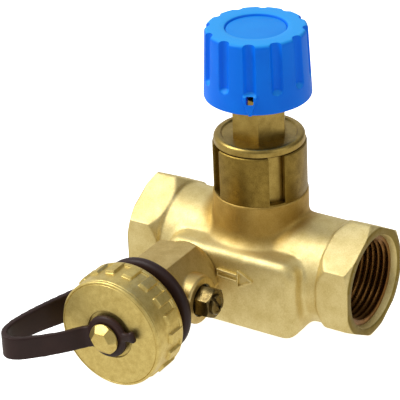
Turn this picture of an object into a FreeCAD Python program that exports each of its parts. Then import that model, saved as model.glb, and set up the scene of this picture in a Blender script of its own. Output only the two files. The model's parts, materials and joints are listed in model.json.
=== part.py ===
"""Brass shut-off valve with a blue knob and a capped drain cock, in millimetres.

The run goes along +X from the inlet to the outlet, the stem points up along +Z and the
drain cock points along -Y. The origin is on the inlet's axis, where its thread begins.
Each function makes one piece or one group of pieces, and every size comes from SIZES.
"""
import FreeCAD, Part
import math
import os
import Sketcher

SIZES = {
    # Run: the two female pipe threads and the hexagons round them
    "face_to_face": 76.0,
    "port_hex_flats": 32.0,
    "port_hex_length": 10.7,
    "port_hex_bevel": 1.9,
    "port_hex_outer_bevel_length": 1.1,
    "port_hex_inner_bevel_length": 3.0,
    "pipe_thread_radius": 12.06,
    "pipe_thread_length": 15.0,
    "lead_in_radius": 14.2,
    "lead_in_length": 1.5,
    "pipe_radius": 15.6,
    # Middle of the casting
    "block_length": 45.0,
    "block_front": 20.0,
    "block_back": 14.0,
    "block_top": 9.5,
    "block_edge": 3.0,
    "foot_radius": 18.2,
    "foot_fillet": 3.4,
    "neck_radius": 14.2,
    "neck_top": 21.6,
    # Slotted collar at the top of the neck
    "collar_radius": 13.9,
    "collar_top": 37.8,
    "collar_slot_width": 4.9,
    "collar_slot_bottom": 22.8,
    "collar_slot_turn": 52.0,
    "collar_slots": 4.0,
    # Waterway and seat
    "neck_bore_radius": 12.0,
    "chamber_floor": 1.8,
    "seat_bore_radius": 8.0,
    "seat_radius": 9.6,
    "seat_height": 1.2,
    "well_bottom": 13.0,
    "passage_radius": 6.0,
    "inlet_passage_drop": 6.0,
    "outlet_passage_rise": 5.0,
    "outlet_passage_top": 8.0,
    # Bonnet
    "bonnet_radius": 11.9,
    "bonnet_clearance": 0.7,
    "flange_radius": 13.5,
    "flange_thickness": 2.8,
    "flange_round": 1.4,
    "flange_dish_radius": 11.4,
    "flange_dish_depth": 0.3,
    "bonnet_hex_flats": 15.0,
    "bonnet_hex_height": 13.0,
    "bonnet_ring_height": 2.0,
    "bonnet_ring_wire": 1.6,
    # Spindle
    "spindle_radius": 4.0,
    "spindle_thread_radius": 6.0,
    "spindle_thread_length": 11.0,
    "spindle_thread_spare": 2.0,
    "spindle_neck_radius": 2.5,
    "spindle_top_radius": 3.0,
    "spindle_top_length": 8.0,
    "spindle_head_radius": 4.0,
    "spindle_head_height": 1.8,
    "spindle_ring_wire": 1.2,
    "spindle_ring_low": 43.5,
    "spindle_ring_pitch": 4.0,
    "running_gap": 0.05,
    "gland_radius": 5.6,
    "gland_length": 3.5,
    "gland_lip": 0.8,
    # Cone that shuts the seat
    "stroke": 4.5,
    "seat_gap": 0.02,
    "washer_radius": 9.4,
    "washer_thickness": 2.6,
    "cone_radius": 9.8,
    "cone_thickness": 1.9,
    "cone_hub_radius": 6.2,
    "cone_floor": 1.5,
    "cone_hub_edge": 0.9,
    "cone_stub_radius": 3.0,
    "cone_nut_flats": 9.0,
    "cone_nut_height": 2.4,
    "cone_clip_thickness": 0.9,
    # Knob
    "knob_base": 52.7,
    "knob_height": 21.0,
    "knob_base_radius": 15.8,
    "knob_top_radius": 14.85,
    "knob_edge": 1.8,
    "knob_hollow_radius": 12.4,
    "knob_hollow_depth": 12.0,
    "knob_recess_radius": 8.9,
    "knob_recess_depth": 3.6,
    "knob_disc_thickness": 1.4,
    "knob_disc_sink": 0.6,
    "knob_groove_radius": 1.9,
    "knob_groove_depth": 1.0,
    "knob_groove_bottom": 6.0,
    "knob_groove_ramp": 3.0,
    "knob_grooves": 12.0,
    "knob_turn": -7.0,
    "knob_peep_radius": 1.1,
    "knob_peep_height": 4.6,
    "insert_radius": 6.4,
    "insert_sink": 0.1,
    "knob_screw_head_radius": 3.6,
    "knob_screw_head_height": 1.4,
    "knob_screw_radius": 1.5,
    "knob_screw_length": 6.0,
    # Drain cock
    "drain_offset": 13.5,
    "cock_spigot_radius": 8.0,
    "drain_hole_wall": 0.94,
    "cock_shoulder_radius": 9.3,
    "cock_shoulder_length": 2.2,
    "cock_hex_flats": 22.0,
    "cock_hex_length": 19.0,
    "cock_hex_turn": 5.0,
    "cock_hex_chamfer": 0.6,
    "cock_core_radius": 3.6,
    "cock_flange_radius": 13.2,
    "cock_flange_length": 1.2,
    "cock_neck_radius": 11.2,
    "cock_neck_length": 4.6,
    "hose_thread_radius": 13.22,
    "hose_thread_length": 12.0,
    "hose_thread_bevel": 1.0,
    "hose_bore_radius": 8.6,
    "hose_bore_length": 14.0,
    "cock_inlet_radius": 2.8,
    "cock_inlet_side": 3.6,
    "cock_seat_radius": 2.2,
    "cock_seat_side": 2.0,
    "cock_outlet_radius": 2.8,
    "cock_outlet_side": 3.6,
    "side_boss_place": 33.0,
    "side_boss_radius": 7.3,
    "side_bore_radius": 5.0,
    "drain_gasket_thickness": 0.8,
    # Screw that opens the drain
    "screw_travel": 3.0,
    "screw_thread_length": 3.2,
    "screw_hex_flats": 8.0,
    "screw_stand_out": 3.8,
    "screw_hex_bevel": 0.6,
    "screw_nub_radius": 2.7,
    "screw_nub_length": 3.0,
    "screw_slot_width": 0.9,
    "screw_slot_depth": 1.6,
    "screw_ring_wire": 1.0,
    "screw_pin_radius": 1.4,
    "screw_pin_length": 1.6,
    "tip_radius": 3.9,
    "tip_length": 2.3,
    "tip_seal_thickness": 0.8,
    "drain_clip_thickness": 0.7,
    "drain_clip_grip": 0.35,
    "drain_clip_edge": 0.6,
    # Cap on the hose thread
    "cap_length": 12.2,
    "cap_wall": 3.2,
    "cap_bead": 0.5,
    "cap_bead_length": 1.4,
    "cap_edge": 0.7,
    "cap_crown": 2.2,
    "cap_line_place": 1.4,
    "cap_line_width": 0.6,
    "cap_line_depth": 0.3,
    "cap_rib_height": 0.8,
    "cap_rib_width": 3.0,
    "cap_rib_length": 6.0,
    "cap_rib_ramp": 1.6,
    "cap_rib_start": 0.6,
    "cap_ribs": 18.0,
    "cap_well_gap": 0.8,
    "cap_well_depth": 0.5,
    "gasket_thickness": 2.0,
    "gasket_hole_radius": 8.6,
    "stud_radius": 3.2,
    "stud_head_radius": 4.6,
    "stud_head_height": 2.6,
    "stud_head_bevel": 1.8,
    # Rubber strap that keeps the cap
    "strap_ring_wall": 3.7,
    "strap_ring_thickness": 3.6,
    "strap_thickness": 1.8,
    "strap_width": 7.8,
    "strap_clear": 2.6,
    "strap_reach": 6.9,
    "strap_bow": 18.6,
    "strap_corner": 3.3,
    "strap_bend": 2.6,
    "strap_lean": 14.0,
    "strap_sag": 6.4,
    "eyelet_radius": 6.5,
    "eyelet_thickness": 2.4,
    "tail_length": 3.4,
    "tail_width": 3.2,
    "soft_gap": 0.3,
}

doc = FreeCAD.newDocument("shut_off_valve")
sheet = doc.addObject("Spreadsheet::Sheet", "Sizes")


class Size:
    """A length or count: its number and the expression that binds a property to the sheet."""

    def __init__(self, value, text):
        self.value = value
        self.text = text

    @staticmethod
    def of(other):
        return other if isinstance(other, Size) else Size(float(other), repr(float(other)))

    def __add__(self, other):
        other = Size.of(other)
        return Size(self.value + other.value, f"({self.text} + {other.text})")

    def __radd__(self, other):
        return Size.of(other) + self

    def __sub__(self, other):
        other = Size.of(other)
        return Size(self.value - other.value, f"({self.text} - {other.text})")

    def __rsub__(self, other):
        return Size.of(other) - self

    def __mul__(self, other):
        other = Size.of(other)
        return Size(self.value * other.value, f"({self.text} * {other.text})")

    __rmul__ = __mul__

    def __truediv__(self, other):
        other = Size.of(other)
        return Size(self.value / other.value, f"({self.text} / {other.text})")

    def __neg__(self):
        return 0.0 - self


class Table:
    """The sheet's cells as attributes: s.stroke is the size called stroke."""

    def __init__(self, sizes):
        for row, (name, value) in enumerate(sizes.items(), start=1):
            sheet.set(f"A{row}", name)
            sheet.set(f"B{row}", str(value))
            sheet.setAlias(f"B{row}", name)
            setattr(self, name, Size(value, f"Sizes.{name}"))


s = Table(SIZES)
doc.recompute()

ZERO = Size.of(0.0)
ROOT_THREE = 3 ** 0.5
FULL_TURN = 360.0
OUTSIDE = Size.of(1.0)

# Places that follow from the sizes
stem_x = s.face_to_face / 2 - s.lead_in_length
drain_x = stem_x - s.drain_offset
body_front = s.block_front
cock_spigot_length = body_front - s.pipe_thread_radius - s.drain_hole_wall
seat_top = s.chamber_floor + s.seat_height
flange_top = s.collar_top + s.flange_thickness
bonnet_top = flange_top + s.bonnet_hex_height
washer_bottom = seat_top + s.stroke + s.seat_gap
washer_top = washer_bottom + s.washer_thickness
spindle_head_bottom = washer_top + s.cone_floor
spindle_head_top = spindle_head_bottom + s.spindle_head_height
clip_low = spindle_head_top + s.running_gap
clip_high = clip_low + s.cone_clip_thickness
hub_top = clip_high + s.cone_hub_edge
bonnet_bottom = hub_top + s.bonnet_clearance
spindle_thread_bottom = bonnet_bottom + s.stroke + s.spindle_thread_spare
spindle_thread_top = spindle_thread_bottom + s.spindle_thread_length
knob_floor = s.knob_base + s.knob_hollow_depth
knob_top = s.knob_base + s.knob_height
recess_floor = knob_top - s.knob_recess_depth
insert_top = recess_floor - s.insert_sink
hex_start = body_front + s.drain_gasket_thickness
hex_end = hex_start + s.cock_hex_length
neck_start = hex_end + s.cock_flange_length
thread_start = neck_start + s.cock_neck_length
thread_end = thread_start + s.hose_thread_length
cap_ceiling = thread_end + s.seat_gap + s.gasket_thickness
cap_end = cap_ceiling + s.cap_crown
cap_base = cap_end - s.cap_length
cap_bore = s.hose_thread_radius + s.running_gap
cap_radius = cap_bore + s.cap_wall
cap_well_radius = s.eyelet_radius + s.cap_well_gap
cap_reach = cap_radius + s.cap_rib_height
ring_middle = (neck_start + thread_start) / 2
strap_ring_bore = s.cock_neck_radius + s.soft_gap
strap_ring_radius = strap_ring_bore + s.strap_ring_wall
eyelet_low = cap_end - s.cap_well_depth + s.soft_gap
eyelet_high = eyelet_low + s.eyelet_thickness
stud_head_base = eyelet_high + s.soft_gap
tip_start = s.cock_seat_side + s.seat_gap + s.tip_seal_thickness
tip_end = tip_start + s.tip_length
screw_start = tip_end + s.running_gap
screw_thread_end = screw_start + s.screw_thread_length
drain_clip_low = screw_thread_end + s.screw_travel + 2 * s.running_gap
drain_clip_high = drain_clip_low + s.drain_clip_thickness
side_boss_reach = drain_clip_high + s.drain_clip_edge
screw_hex_end = side_boss_reach + s.screw_stand_out
screw_end = screw_hex_end + s.screw_nub_length

UP = FreeCAD.Rotation()
ALONG_X = FreeCAD.Rotation(FreeCAD.Vector(0, 1, 0), 90)
AGAINST_X = FreeCAD.Rotation(FreeCAD.Vector(0, 1, 0), -90)
TOWARDS_VIEWER = FreeCAD.Rotation(FreeCAD.Vector(1, 0, 0), 90)

parts = []


def about_z(angle):
    return FreeCAD.Rotation(FreeCAD.Vector(0, 0, 1), angle)


def bind(thing, **sizes):
    """Binds properties of an object to sizes, such as Radius=s.pipe_radius."""
    for name, size in sizes.items():
        thing.setExpression(name, Size.of(size).text)
    return thing


def place(thing, x=ZERO, y=ZERO, z=ZERO, turn=UP):
    """Sets an object's Placement, with each coordinate bound to its size."""
    x, y, z = Size.of(x), Size.of(y), Size.of(z)
    thing.Placement = FreeCAD.Placement(FreeCAD.Vector(x.value, y.value, z.value), turn)
    for axis, size in (("x", x), ("y", y), ("z", z)):
        thing.setExpression(f"Placement.Base.{axis}", size.text)
    return thing


def keep(thing, label):
    """Marks an object as one of the valve's pieces, under the name of its node."""
    thing.Label = label
    parts.append(thing)
    return thing


def on_stem(thing, label):
    return keep(place(thing, x=stem_x), label)


def on_drain(thing, label):
    """Places a piece drawn along +Z on the drain's axis, which points along -Y."""
    return keep(place(thing, x=drain_x, turn=TOWARDS_VIEWER), label)


def cylinder(name, radius, height, **where):
    return place(bind(doc.addObject("Part::Cylinder", name), Radius=radius, Height=height), **where)


def cone(name, low_radius, high_radius, height, **where):
    thing = doc.addObject("Part::Cone", name)
    return place(bind(thing, Radius1=low_radius, Radius2=high_radius, Height=height), **where)


def box(name, length, width, height, **where):
    thing = doc.addObject("Part::Box", name)
    return place(bind(thing, Length=length, Width=width, Height=height), **where)


def torus(name, middle_radius, wire_radius, **where):
    thing = doc.addObject("Part::Torus", name)
    return place(bind(thing, Radius1=middle_radius, Radius2=wire_radius), **where)


def hexagon(name, flats, height, **where):
    thing = doc.addObject("Part::Prism", name)
    thing.Polygon = 6
    return place(bind(thing, Circumradius=flats / ROOT_THREE, Height=height), **where)


def fuse(name, pieces):
    thing = doc.addObject("Part::MultiFuse", name)
    thing.Shapes = pieces
    thing.Refine = True
    return thing


def cut(name, base, tool):
    thing = doc.addObject("Part::Cut", name)
    thing.Base = base
    thing.Tool = tool
    thing.Refine = True
    return thing


def common(name, base, tool):
    thing = doc.addObject("Part::Common", name)
    thing.Base = base
    thing.Tool = tool
    thing.Refine = True
    return thing


def plane_of(body, role):
    return next(item for item in body.Origin.OriginFeatures if item.Role == role)


def outline(body, name, corners, role="XZ_Plane"):
    """Draws a closed outline whose corners are pairs of sizes across and up the plane."""
    sketch = body.newObject("Sketcher::SketchObject", name)
    sketch.AttachmentSupport = (plane_of(body, role), [""])
    sketch.MapMode = "FlatFace"
    corners = [(Size.of(across), Size.of(up)) for across, up in corners]
    points = [FreeCAD.Vector(across.value, up.value, 0) for across, up in corners]
    count = len(points)
    for index in range(count):
        sketch.addGeometry(Part.LineSegment(points[index], points[(index + 1) % count]), False)
    for index in range(count):
        sketch.addConstraint(Sketcher.Constraint("Coincident", index, 2, (index + 1) % count, 1))
    for index, corner in enumerate(corners):
        for kind, size in zip(("DistanceX", "DistanceY"), corner):
            row = sketch.addConstraint(Sketcher.Constraint(kind, -1, 1, index, 1, size.value))
            sketch.setExpression(f"Constraints[{row}]", size.text)
    return sketch


def revolved(name, corners):
    """A body turned about its own Z axis from an outline of (radius, height) corners."""
    body = doc.addObject("PartDesign::Body", name)
    sketch = outline(body, f"{name}_profile", corners)
    turning = body.newObject("PartDesign::Revolution", f"{name}_turning")
    turning.Profile = sketch
    turning.ReferenceAxis = (sketch, ["V_Axis"])
    turning.Angle = FULL_TURN
    body.Tip = turning
    doc.recompute()
    return body


def ring_edges(shape, circles):
    """Names of the full circles about Z that have the given radii and heights."""
    names = []
    for index, edge in enumerate(shape.Edges, start=1):
        if not isinstance(edge.Curve, Part.Circle):
            continue
        for radius, height in circles:
            same_radius = abs(edge.Curve.Radius - Size.of(radius).value) < 1e-4
            if same_radius and abs(edge.Curve.Center.z - Size.of(height).value) < 1e-4:
                names.append(f"Edge{index}")
    return names


def rounded(body, name, radius, circles):
    """Rounds the circular edges of a body that is turned about Z."""
    before = body.Tip
    feature = body.newObject("PartDesign::Fillet", name)
    feature.Base = (before, ring_edges(before.Shape, circles))
    bind(feature, Radius=radius)
    body.Tip = feature
    doc.recompute()
    return body


def repeated(body, name, feature, count):
    """Repeats a feature of a body round its Z axis."""
    pattern = body.newObject("PartDesign::PolarPattern", name)
    pattern.Originals = [feature]
    pattern.Axis = (plane_of(body, "Z_Axis"), [""])
    pattern.Angle = FULL_TURN
    bind(pattern, Occurrences=count)
    body.Tip = pattern
    doc.recompute()
    return body


def tube(name, outer, inner, low, high):
    return revolved(name, [(inner, low), (outer, low), (outer, high), (inner, high)])


def port_hexagon(name, end_x, turn):
    """One port's hexagon, with corners up and down and bevels at both ends."""
    length = s.port_hex_length
    corner = s.port_hex_flats / ROOT_THREE
    bar = hexagon(f"{name}_bar", s.port_hex_flats, length)
    form = revolved(f"{name}_bevels", [
        (0, 0), (corner - s.port_hex_bevel, 0), (corner, s.port_hex_outer_bevel_length),
        (corner, length - s.port_hex_inner_bevel_length), (corner - s.port_hex_bevel, length),
        (0, length)])
    return place(common(name, bar, form), x=end_x, turn=turn)


def casting_outside():
    """The casting without its bores: run, middle block, neck with its foot, and collar."""
    half = s.face_to_face / 2
    run = cylinder("run", s.pipe_radius, s.face_to_face - 2 * s.lead_in_length,
                   x=s.lead_in_length - half, turn=ALONG_X)
    block = doc.addObject("PartDesign::Body", "block")
    wide, front, back = s.block_length / 2, s.block_front, s.block_back
    base = outline(block, "block_plan", [
        (-wide, -front), (wide, -front), (wide, back), (-wide, back)], "XY_Plane")
    pad = block.newObject("PartDesign::Pad", "block_pad")
    pad.Profile = base
    bind(pad, Length=s.block_top + s.pipe_radius)
    doc.recompute()
    edges = block.newObject("PartDesign::Fillet", "block_edges")
    edges.Base = (pad, [f"Edge{number + 1}" for number in range(len(pad.Shape.Edges))])
    bind(edges, Radius=s.block_edge)
    block.Tip = edges
    place(block, z=-s.pipe_radius)
    foot_top = s.block_top - s.block_edge / 2
    neck = revolved("neck", [
        (0, -s.pipe_radius), (s.foot_radius, -s.pipe_radius), (s.foot_radius, foot_top),
        (s.neck_radius, foot_top),
        (s.neck_radius, s.neck_top), (s.collar_radius, s.collar_slot_bottom),
        (s.collar_radius, s.collar_top), (0, s.collar_top)])
    rounded(neck, "neck_foot", s.foot_fillet, [(s.neck_radius, foot_top)])
    inlet = port_hexagon("inlet_hexagon", -half, ALONG_X)
    outlet = port_hexagon("outlet_hexagon", half, AGAINST_X)
    return fuse("casting_outside", [run, block, neck, inlet, outlet])


def leaning_bore(name, radius, start_x, start_z, end_x, end_z):
    """A bore in the XZ plane between two points, drawn as a leaning cylinder."""
    start_x, start_z, end_x, end_z = (Size.of(item) for item in (start_x, start_z, end_x, end_z))
    run, rise = end_x - start_x, end_z - start_z
    thing = doc.addObject("Part::Cylinder", name)
    length = Size((run.value ** 2 + rise.value ** 2) ** 0.5, f"sqrt({run.text} ^ 2 + {rise.text} ^ 2)")
    bind(thing, Radius=radius, Height=length)
    turn = FreeCAD.Rotation(FreeCAD.Vector(0, 0, 1), FreeCAD.Vector(run.value, 0, rise.value))
    return place(thing, x=start_x, z=start_z, turn=turn)


def casting_bores():
    """Everything that is cut out of the casting: threads, waterway, neck and drain hole."""
    half = s.face_to_face / 2
    bores = []
    thread_inner = half - s.lead_in_length - s.pipe_thread_length
    for name, side, turn in (("inlet", -1.0, ALONG_X), ("outlet", 1.0, AGAINST_X)):
        bores.append(cylinder(f"{name}_thread", s.pipe_thread_radius, half - thread_inner,
                              x=side * half, turn=turn))
        bores.append(cone(f"{name}_lead_in", s.lead_in_radius, s.pipe_thread_radius, s.lead_in_length,
                          x=side * half, turn=turn))
    bores.append(leaning_bore("inlet_passage", s.passage_radius, -thread_inner - OUTSIDE,
                              -s.inlet_passage_drop, ZERO, -s.well_bottom + s.passage_radius))
    bores.append(leaning_bore("outlet_passage", s.passage_radius, s.neck_bore_radius - OUTSIDE / 2,
                              s.outlet_passage_top, thread_inner + OUTSIDE, s.outlet_passage_rise))
    bores.append(cylinder("well", s.seat_bore_radius, s.well_bottom + seat_top + OUTSIDE,
                          z=-s.well_bottom))
    seat = tube("seat_ring", s.seat_radius, s.seat_bore_radius, s.chamber_floor, seat_top)
    chamber = cylinder("chamber", s.neck_bore_radius, s.collar_top + OUTSIDE - s.chamber_floor,
                       z=s.chamber_floor)
    bores.append(cut("chamber_round_seat", chamber, seat))
    bores.append(cylinder("drain_hole", s.cock_spigot_radius, cock_spigot_length + OUTSIDE,
                          x=-s.drain_offset, y=cock_spigot_length - body_front, turn=TOWARDS_VIEWER))
    bores.append(cylinder("drain_way", s.cock_inlet_radius + OUTSIDE, body_front,
                          x=-s.drain_offset, turn=TOWARDS_VIEWER))
    aside = s.collar_slot_width / 2
    for index in range(int(s.collar_slots.value)):
        angle = s.collar_slot_turn.value + index * FULL_TURN / s.collar_slots.value
        across_x, across_y = math.sin(math.radians(angle)), -math.cos(math.radians(angle))
        bores.append(box(f"collar_slot_{index}", s.collar_radius + OUTSIDE, s.collar_slot_width,
                         s.collar_top + OUTSIDE - s.collar_slot_bottom, x=aside * across_x,
                         y=aside * across_y, z=s.collar_slot_bottom, turn=about_z(angle)))
    return fuse("casting_bores", bores)


def valve_body():
    on_stem(cut("valve_body_solid", casting_outside(), casting_bores()), "valve_body")


def bonnet():
    """Barrel, dished flange and hexagon in one piece, with its bore, thread and seal groove."""
    rim = s.flange_radius
    turned = revolved("bonnet_turned", [
        (0, bonnet_bottom), (s.bonnet_radius, bonnet_bottom), (s.bonnet_radius, s.collar_top),
        (rim, s.collar_top), (rim, flange_top), (s.flange_dish_radius, flange_top),
        (s.flange_dish_radius - s.flange_dish_depth, flange_top - s.flange_dish_depth),
        (0, flange_top - s.flange_dish_depth)])
    rounded(turned, "bonnet_rim", s.flange_round, [(rim, flange_top)])
    low = flange_top - s.flange_thickness / 2
    nut = hexagon("bonnet_hexagon", s.bonnet_hex_flats, bonnet_top - low, z=low)
    thread_bore = s.spindle_thread_radius + s.running_gap
    stem_bore = s.spindle_radius + s.running_gap
    shoulder = spindle_thread_top + s.running_gap
    gland_low = bonnet_top - s.gland_length
    inside = revolved("bonnet_inside", [
        (0, bonnet_bottom - OUTSIDE), (thread_bore, bonnet_bottom - OUTSIDE),
        (thread_bore, shoulder), (stem_bore, shoulder), (stem_bore, gland_low),
        (s.gland_radius, gland_low), (s.gland_radius, bonnet_top + OUTSIDE), (0, bonnet_top + OUTSIDE)])
    low_ring = bonnet_bottom + s.bonnet_ring_height
    groove = tube("bonnet_groove", s.bonnet_radius + OUTSIDE, s.neck_bore_radius - s.bonnet_ring_wire,
                  low_ring, low_ring + s.bonnet_ring_wire)
    body = fuse("bonnet_outside", [turned, nut])
    on_stem(cut("bonnet_solid", body, fuse("bonnet_cuts", [inside, groove])), "bonnet")
    wire = s.bonnet_ring_wire / 2
    on_stem_at(torus("bonnet_ring", s.neck_bore_radius - wire, wire), low_ring + wire, "bonnet_o_ring")
    lip_top = bonnet_top + s.gland_lip
    on_stem(revolved("gland", [
        (stem_bore, gland_low), (s.gland_radius, gland_low), (s.gland_radius, bonnet_top),
        (s.gland_radius + s.gland_lip, bonnet_top), (s.gland_radius + s.gland_lip / 2, lip_top),
        (stem_bore, lip_top)]), "gland_bush")


def on_stem_at(thing, height, label):
    return keep(place(thing, x=stem_x, z=height), label)


def spindle():
    """Stem with its operating thread, two seal grooves, a head for the cone and a splined top."""
    wire = s.spindle_ring_wire
    grooves = [s.spindle_ring_low, s.spindle_ring_low + s.spindle_ring_pitch]
    shaft = revolved("spindle_shaft", [
        (0, spindle_head_bottom), (s.spindle_head_radius, spindle_head_bottom),
        (s.spindle_head_radius, spindle_head_top), (s.spindle_neck_radius, spindle_head_top),
        (s.spindle_neck_radius, spindle_thread_bottom - s.spindle_thread_radius + s.spindle_neck_radius),
        (s.spindle_thread_radius, spindle_thread_bottom), (s.spindle_thread_radius, spindle_thread_top),
        (s.spindle_radius, spindle_thread_top), (s.spindle_radius, knob_floor),
        (s.spindle_top_radius, knob_floor), (s.spindle_top_radius, insert_top), (0, insert_top)])
    cuts = [tube(f"spindle_groove_{index}", s.spindle_radius + OUTSIDE, s.spindle_radius - wire,
                 low, low + wire) for index, low in enumerate(grooves)]
    cuts.append(cylinder("spindle_tapping", s.knob_screw_radius, s.knob_screw_length,
                         z=insert_top - s.knob_screw_length))
    on_stem(cut("spindle_solid", shaft, fuse("spindle_cuts", cuts)), "spindle")
    for name, low in zip(("lower", "upper"), grooves):
        ring = torus(f"spindle_ring_{name}", s.spindle_radius - wire / 2, wire / 2)
        on_stem_at(ring, low + wire / 2, f"spindle_o_ring_{name}")


def seat_cone():
    """Cone with its rubber washer, the nut that holds the washer and the clip round the spindle."""
    gap = s.running_gap
    stub_bottom = washer_bottom - s.cone_nut_height
    socket_floor = spindle_head_bottom - gap
    socket = s.spindle_head_radius + gap
    groove = socket + s.cone_clip_thickness / 2
    on_stem(revolved("cone_turned", [
        (0, stub_bottom), (s.cone_stub_radius, stub_bottom), (s.cone_stub_radius, washer_top),
        (s.cone_radius, washer_top), (s.cone_radius, washer_top + s.cone_thickness / 2),
        (s.cone_hub_radius, washer_top + s.cone_thickness), (s.cone_hub_radius, hub_top),
        (socket, hub_top), (socket, clip_high), (groove, clip_high), (groove, clip_low),
        (socket, clip_low), (socket, socket_floor), (0, socket_floor)]), "valve_cone")
    washer = tube("washer", s.washer_radius, s.cone_stub_radius, washer_bottom, washer_top)
    on_stem(washer, "seat_washer")
    nut = hexagon("cone_nut_bar", s.cone_nut_flats, s.cone_nut_height, z=stub_bottom)
    hole = cylinder("cone_nut_hole", s.cone_stub_radius, s.cone_nut_height, z=stub_bottom)
    on_stem(cut("cone_nut_solid", nut, hole), "cone_nut")
    clip = tube("cone_clip_ring", groove, s.spindle_neck_radius + 2 * gap, clip_low, clip_high)
    on_stem(clip, "cone_clip")


def knob():
    """Grooved plastic knob, its brass insert, its screw and the disc that covers the screw."""
    height, deep = s.knob_height, s.knob_hollow_depth
    floor = height - s.knob_recess_depth
    body = revolved("knob_turned", [
        (s.insert_radius, deep), (s.knob_hollow_radius, deep), (s.knob_hollow_radius, 0),
        (s.knob_base_radius, 0), (s.knob_top_radius, height), (s.knob_recess_radius, height),
        (s.knob_recess_radius, floor), (s.insert_radius, floor)])
    rounded(body, "knob_top_edge", s.knob_edge, [(s.knob_top_radius, height)])
    outward = s.knob_groove_radius - s.knob_groove_depth
    low, high = s.knob_groove_bottom - s.knob_groove_ramp, height + OUTSIDE
    low_centre, high_centre = s.knob_base_radius + outward, s.knob_top_radius + outward
    profile = outline(body, "knob_groove_profile", [
        (low_centre, low), (low_centre + s.knob_groove_radius, s.knob_groove_bottom),
        (high_centre + s.knob_groove_radius, high), (high_centre, high)])
    groove = body.newObject("PartDesign::Groove", "knob_groove")
    groove.Profile = profile
    groove.ReferenceAxis = (profile, ["Edge4"])
    groove.Angle = FULL_TURN
    body.Tip = groove
    doc.recompute()
    repeated(body, "knob_grooves_all", groove, s.knob_grooves)
    peep_turn = about_z(-2 * FULL_TURN / s.knob_grooves.value) * ALONG_X
    peep = cylinder("knob_peep", s.knob_peep_radius, s.knob_base_radius + OUTSIDE,
                    z=s.knob_peep_height, turn=peep_turn)
    solid = cut("knob_solid", body, peep)
    keep(place(solid, x=stem_x, z=s.knob_base, turn=about_z(s.knob_turn.value)), "knob")
    on_stem(tube("insert", s.insert_radius, s.spindle_top_radius, knob_floor, insert_top), "knob_insert")
    shank_low = insert_top - s.knob_screw_length
    head_high = insert_top + s.knob_screw_head_height
    screw = revolved("knob_screw_turned", [
        (0, shank_low), (s.knob_screw_radius, shank_low), (s.knob_screw_radius, insert_top),
        (s.knob_screw_head_radius, insert_top), (s.knob_screw_head_radius, head_high), (0, head_high)])
    on_stem(screw, "knob_screw")
    disc_high = knob_top - s.knob_disc_sink
    disc_low = disc_high - s.knob_disc_thickness
    on_stem(revolved("disc", [
        (0, disc_low), (s.knob_recess_radius, disc_low), (s.knob_recess_radius, disc_high),
        (0, disc_high)]), "knob_disc")


def across(name, radius, start, end):
    """A cylinder along the drain screw's axis, in the drain's own frame."""
    return cylinder(name, radius, end - start, x=start, z=s.side_boss_place, turn=ALONG_X)


def drain_cock():
    """Turned and hexagonal body with its side boss, its offset waterway and its gasket."""
    body = revolved("cock_turned", [
        (0, body_front - cock_spigot_length), (s.cock_spigot_radius, body_front - cock_spigot_length),
        (s.cock_spigot_radius, hex_start), (s.cock_shoulder_radius, hex_start),
        (s.cock_shoulder_radius, hex_start + s.cock_shoulder_length),
        (s.cock_core_radius, hex_start + s.cock_shoulder_length), (s.cock_core_radius, hex_end),
        (s.cock_flange_radius, hex_end), (s.cock_flange_radius, neck_start),
        (s.cock_neck_radius, neck_start), (s.cock_neck_radius, thread_start),
        (s.hose_thread_radius, thread_start),
        (s.hose_thread_radius, thread_end - s.hose_thread_bevel),
        (s.hose_thread_radius - s.hose_thread_bevel, thread_end), (0, thread_end)])
    corner = s.cock_hex_flats / ROOT_THREE
    flats_start = hex_start + s.cock_shoulder_length
    bar = hexagon("cock_bar", s.cock_hex_flats, hex_end - flats_start, z=flats_start,
                  turn=about_z(s.cock_hex_turn.value))
    form = revolved("cock_bar_form", [
        (0, flats_start), (s.cock_hex_flats / 2, flats_start),
        (corner, flats_start + s.cock_hex_chamfer), (corner, hex_end), (0, hex_end)])
    nut = common("cock_hexagon", bar, form)
    boss = across("side_boss", s.side_boss_radius, ZERO, side_boss_reach)
    groove_radius = s.side_bore_radius + s.drain_clip_grip
    bores = [
        cylinder("hose_bore", s.hose_bore_radius, s.hose_bore_length + OUTSIDE,
                 z=thread_end - s.hose_bore_length),
        cylinder("cock_inlet", s.cock_inlet_radius,
                 s.side_boss_place + s.cock_seat_radius - body_front + cock_spigot_length + OUTSIDE,
                 x=-s.cock_inlet_side, z=body_front - cock_spigot_length - OUTSIDE),
        cylinder("cock_outlet", s.cock_outlet_radius, thread_end - s.side_boss_place,
                 x=s.cock_outlet_side, z=s.side_boss_place),
        across("cock_seat", s.cock_seat_radius, -s.cock_inlet_side, s.cock_seat_side + OUTSIDE),
        across("side_bore", s.side_bore_radius, s.cock_seat_side, side_boss_reach + OUTSIDE),
        across("clip_groove", groove_radius, drain_clip_low, drain_clip_high)]
    outside = fuse("cock_outside", [body, nut, boss])
    on_drain(cut("cock_solid", outside, fuse("cock_bores", bores)), "drain_cock_body")
    gasket = tube("drain_gasket_ring", s.cock_shoulder_radius, s.cock_spigot_radius, body_front, hex_start)
    on_drain(gasket, "drain_gasket")


def beside_drain(thing, label):
    """Places a piece drawn along +Z on the drain screw's axis, which points along +X."""
    return keep(place(thing, x=drain_x, y=-s.side_boss_place, turn=ALONG_X), label)


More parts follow.
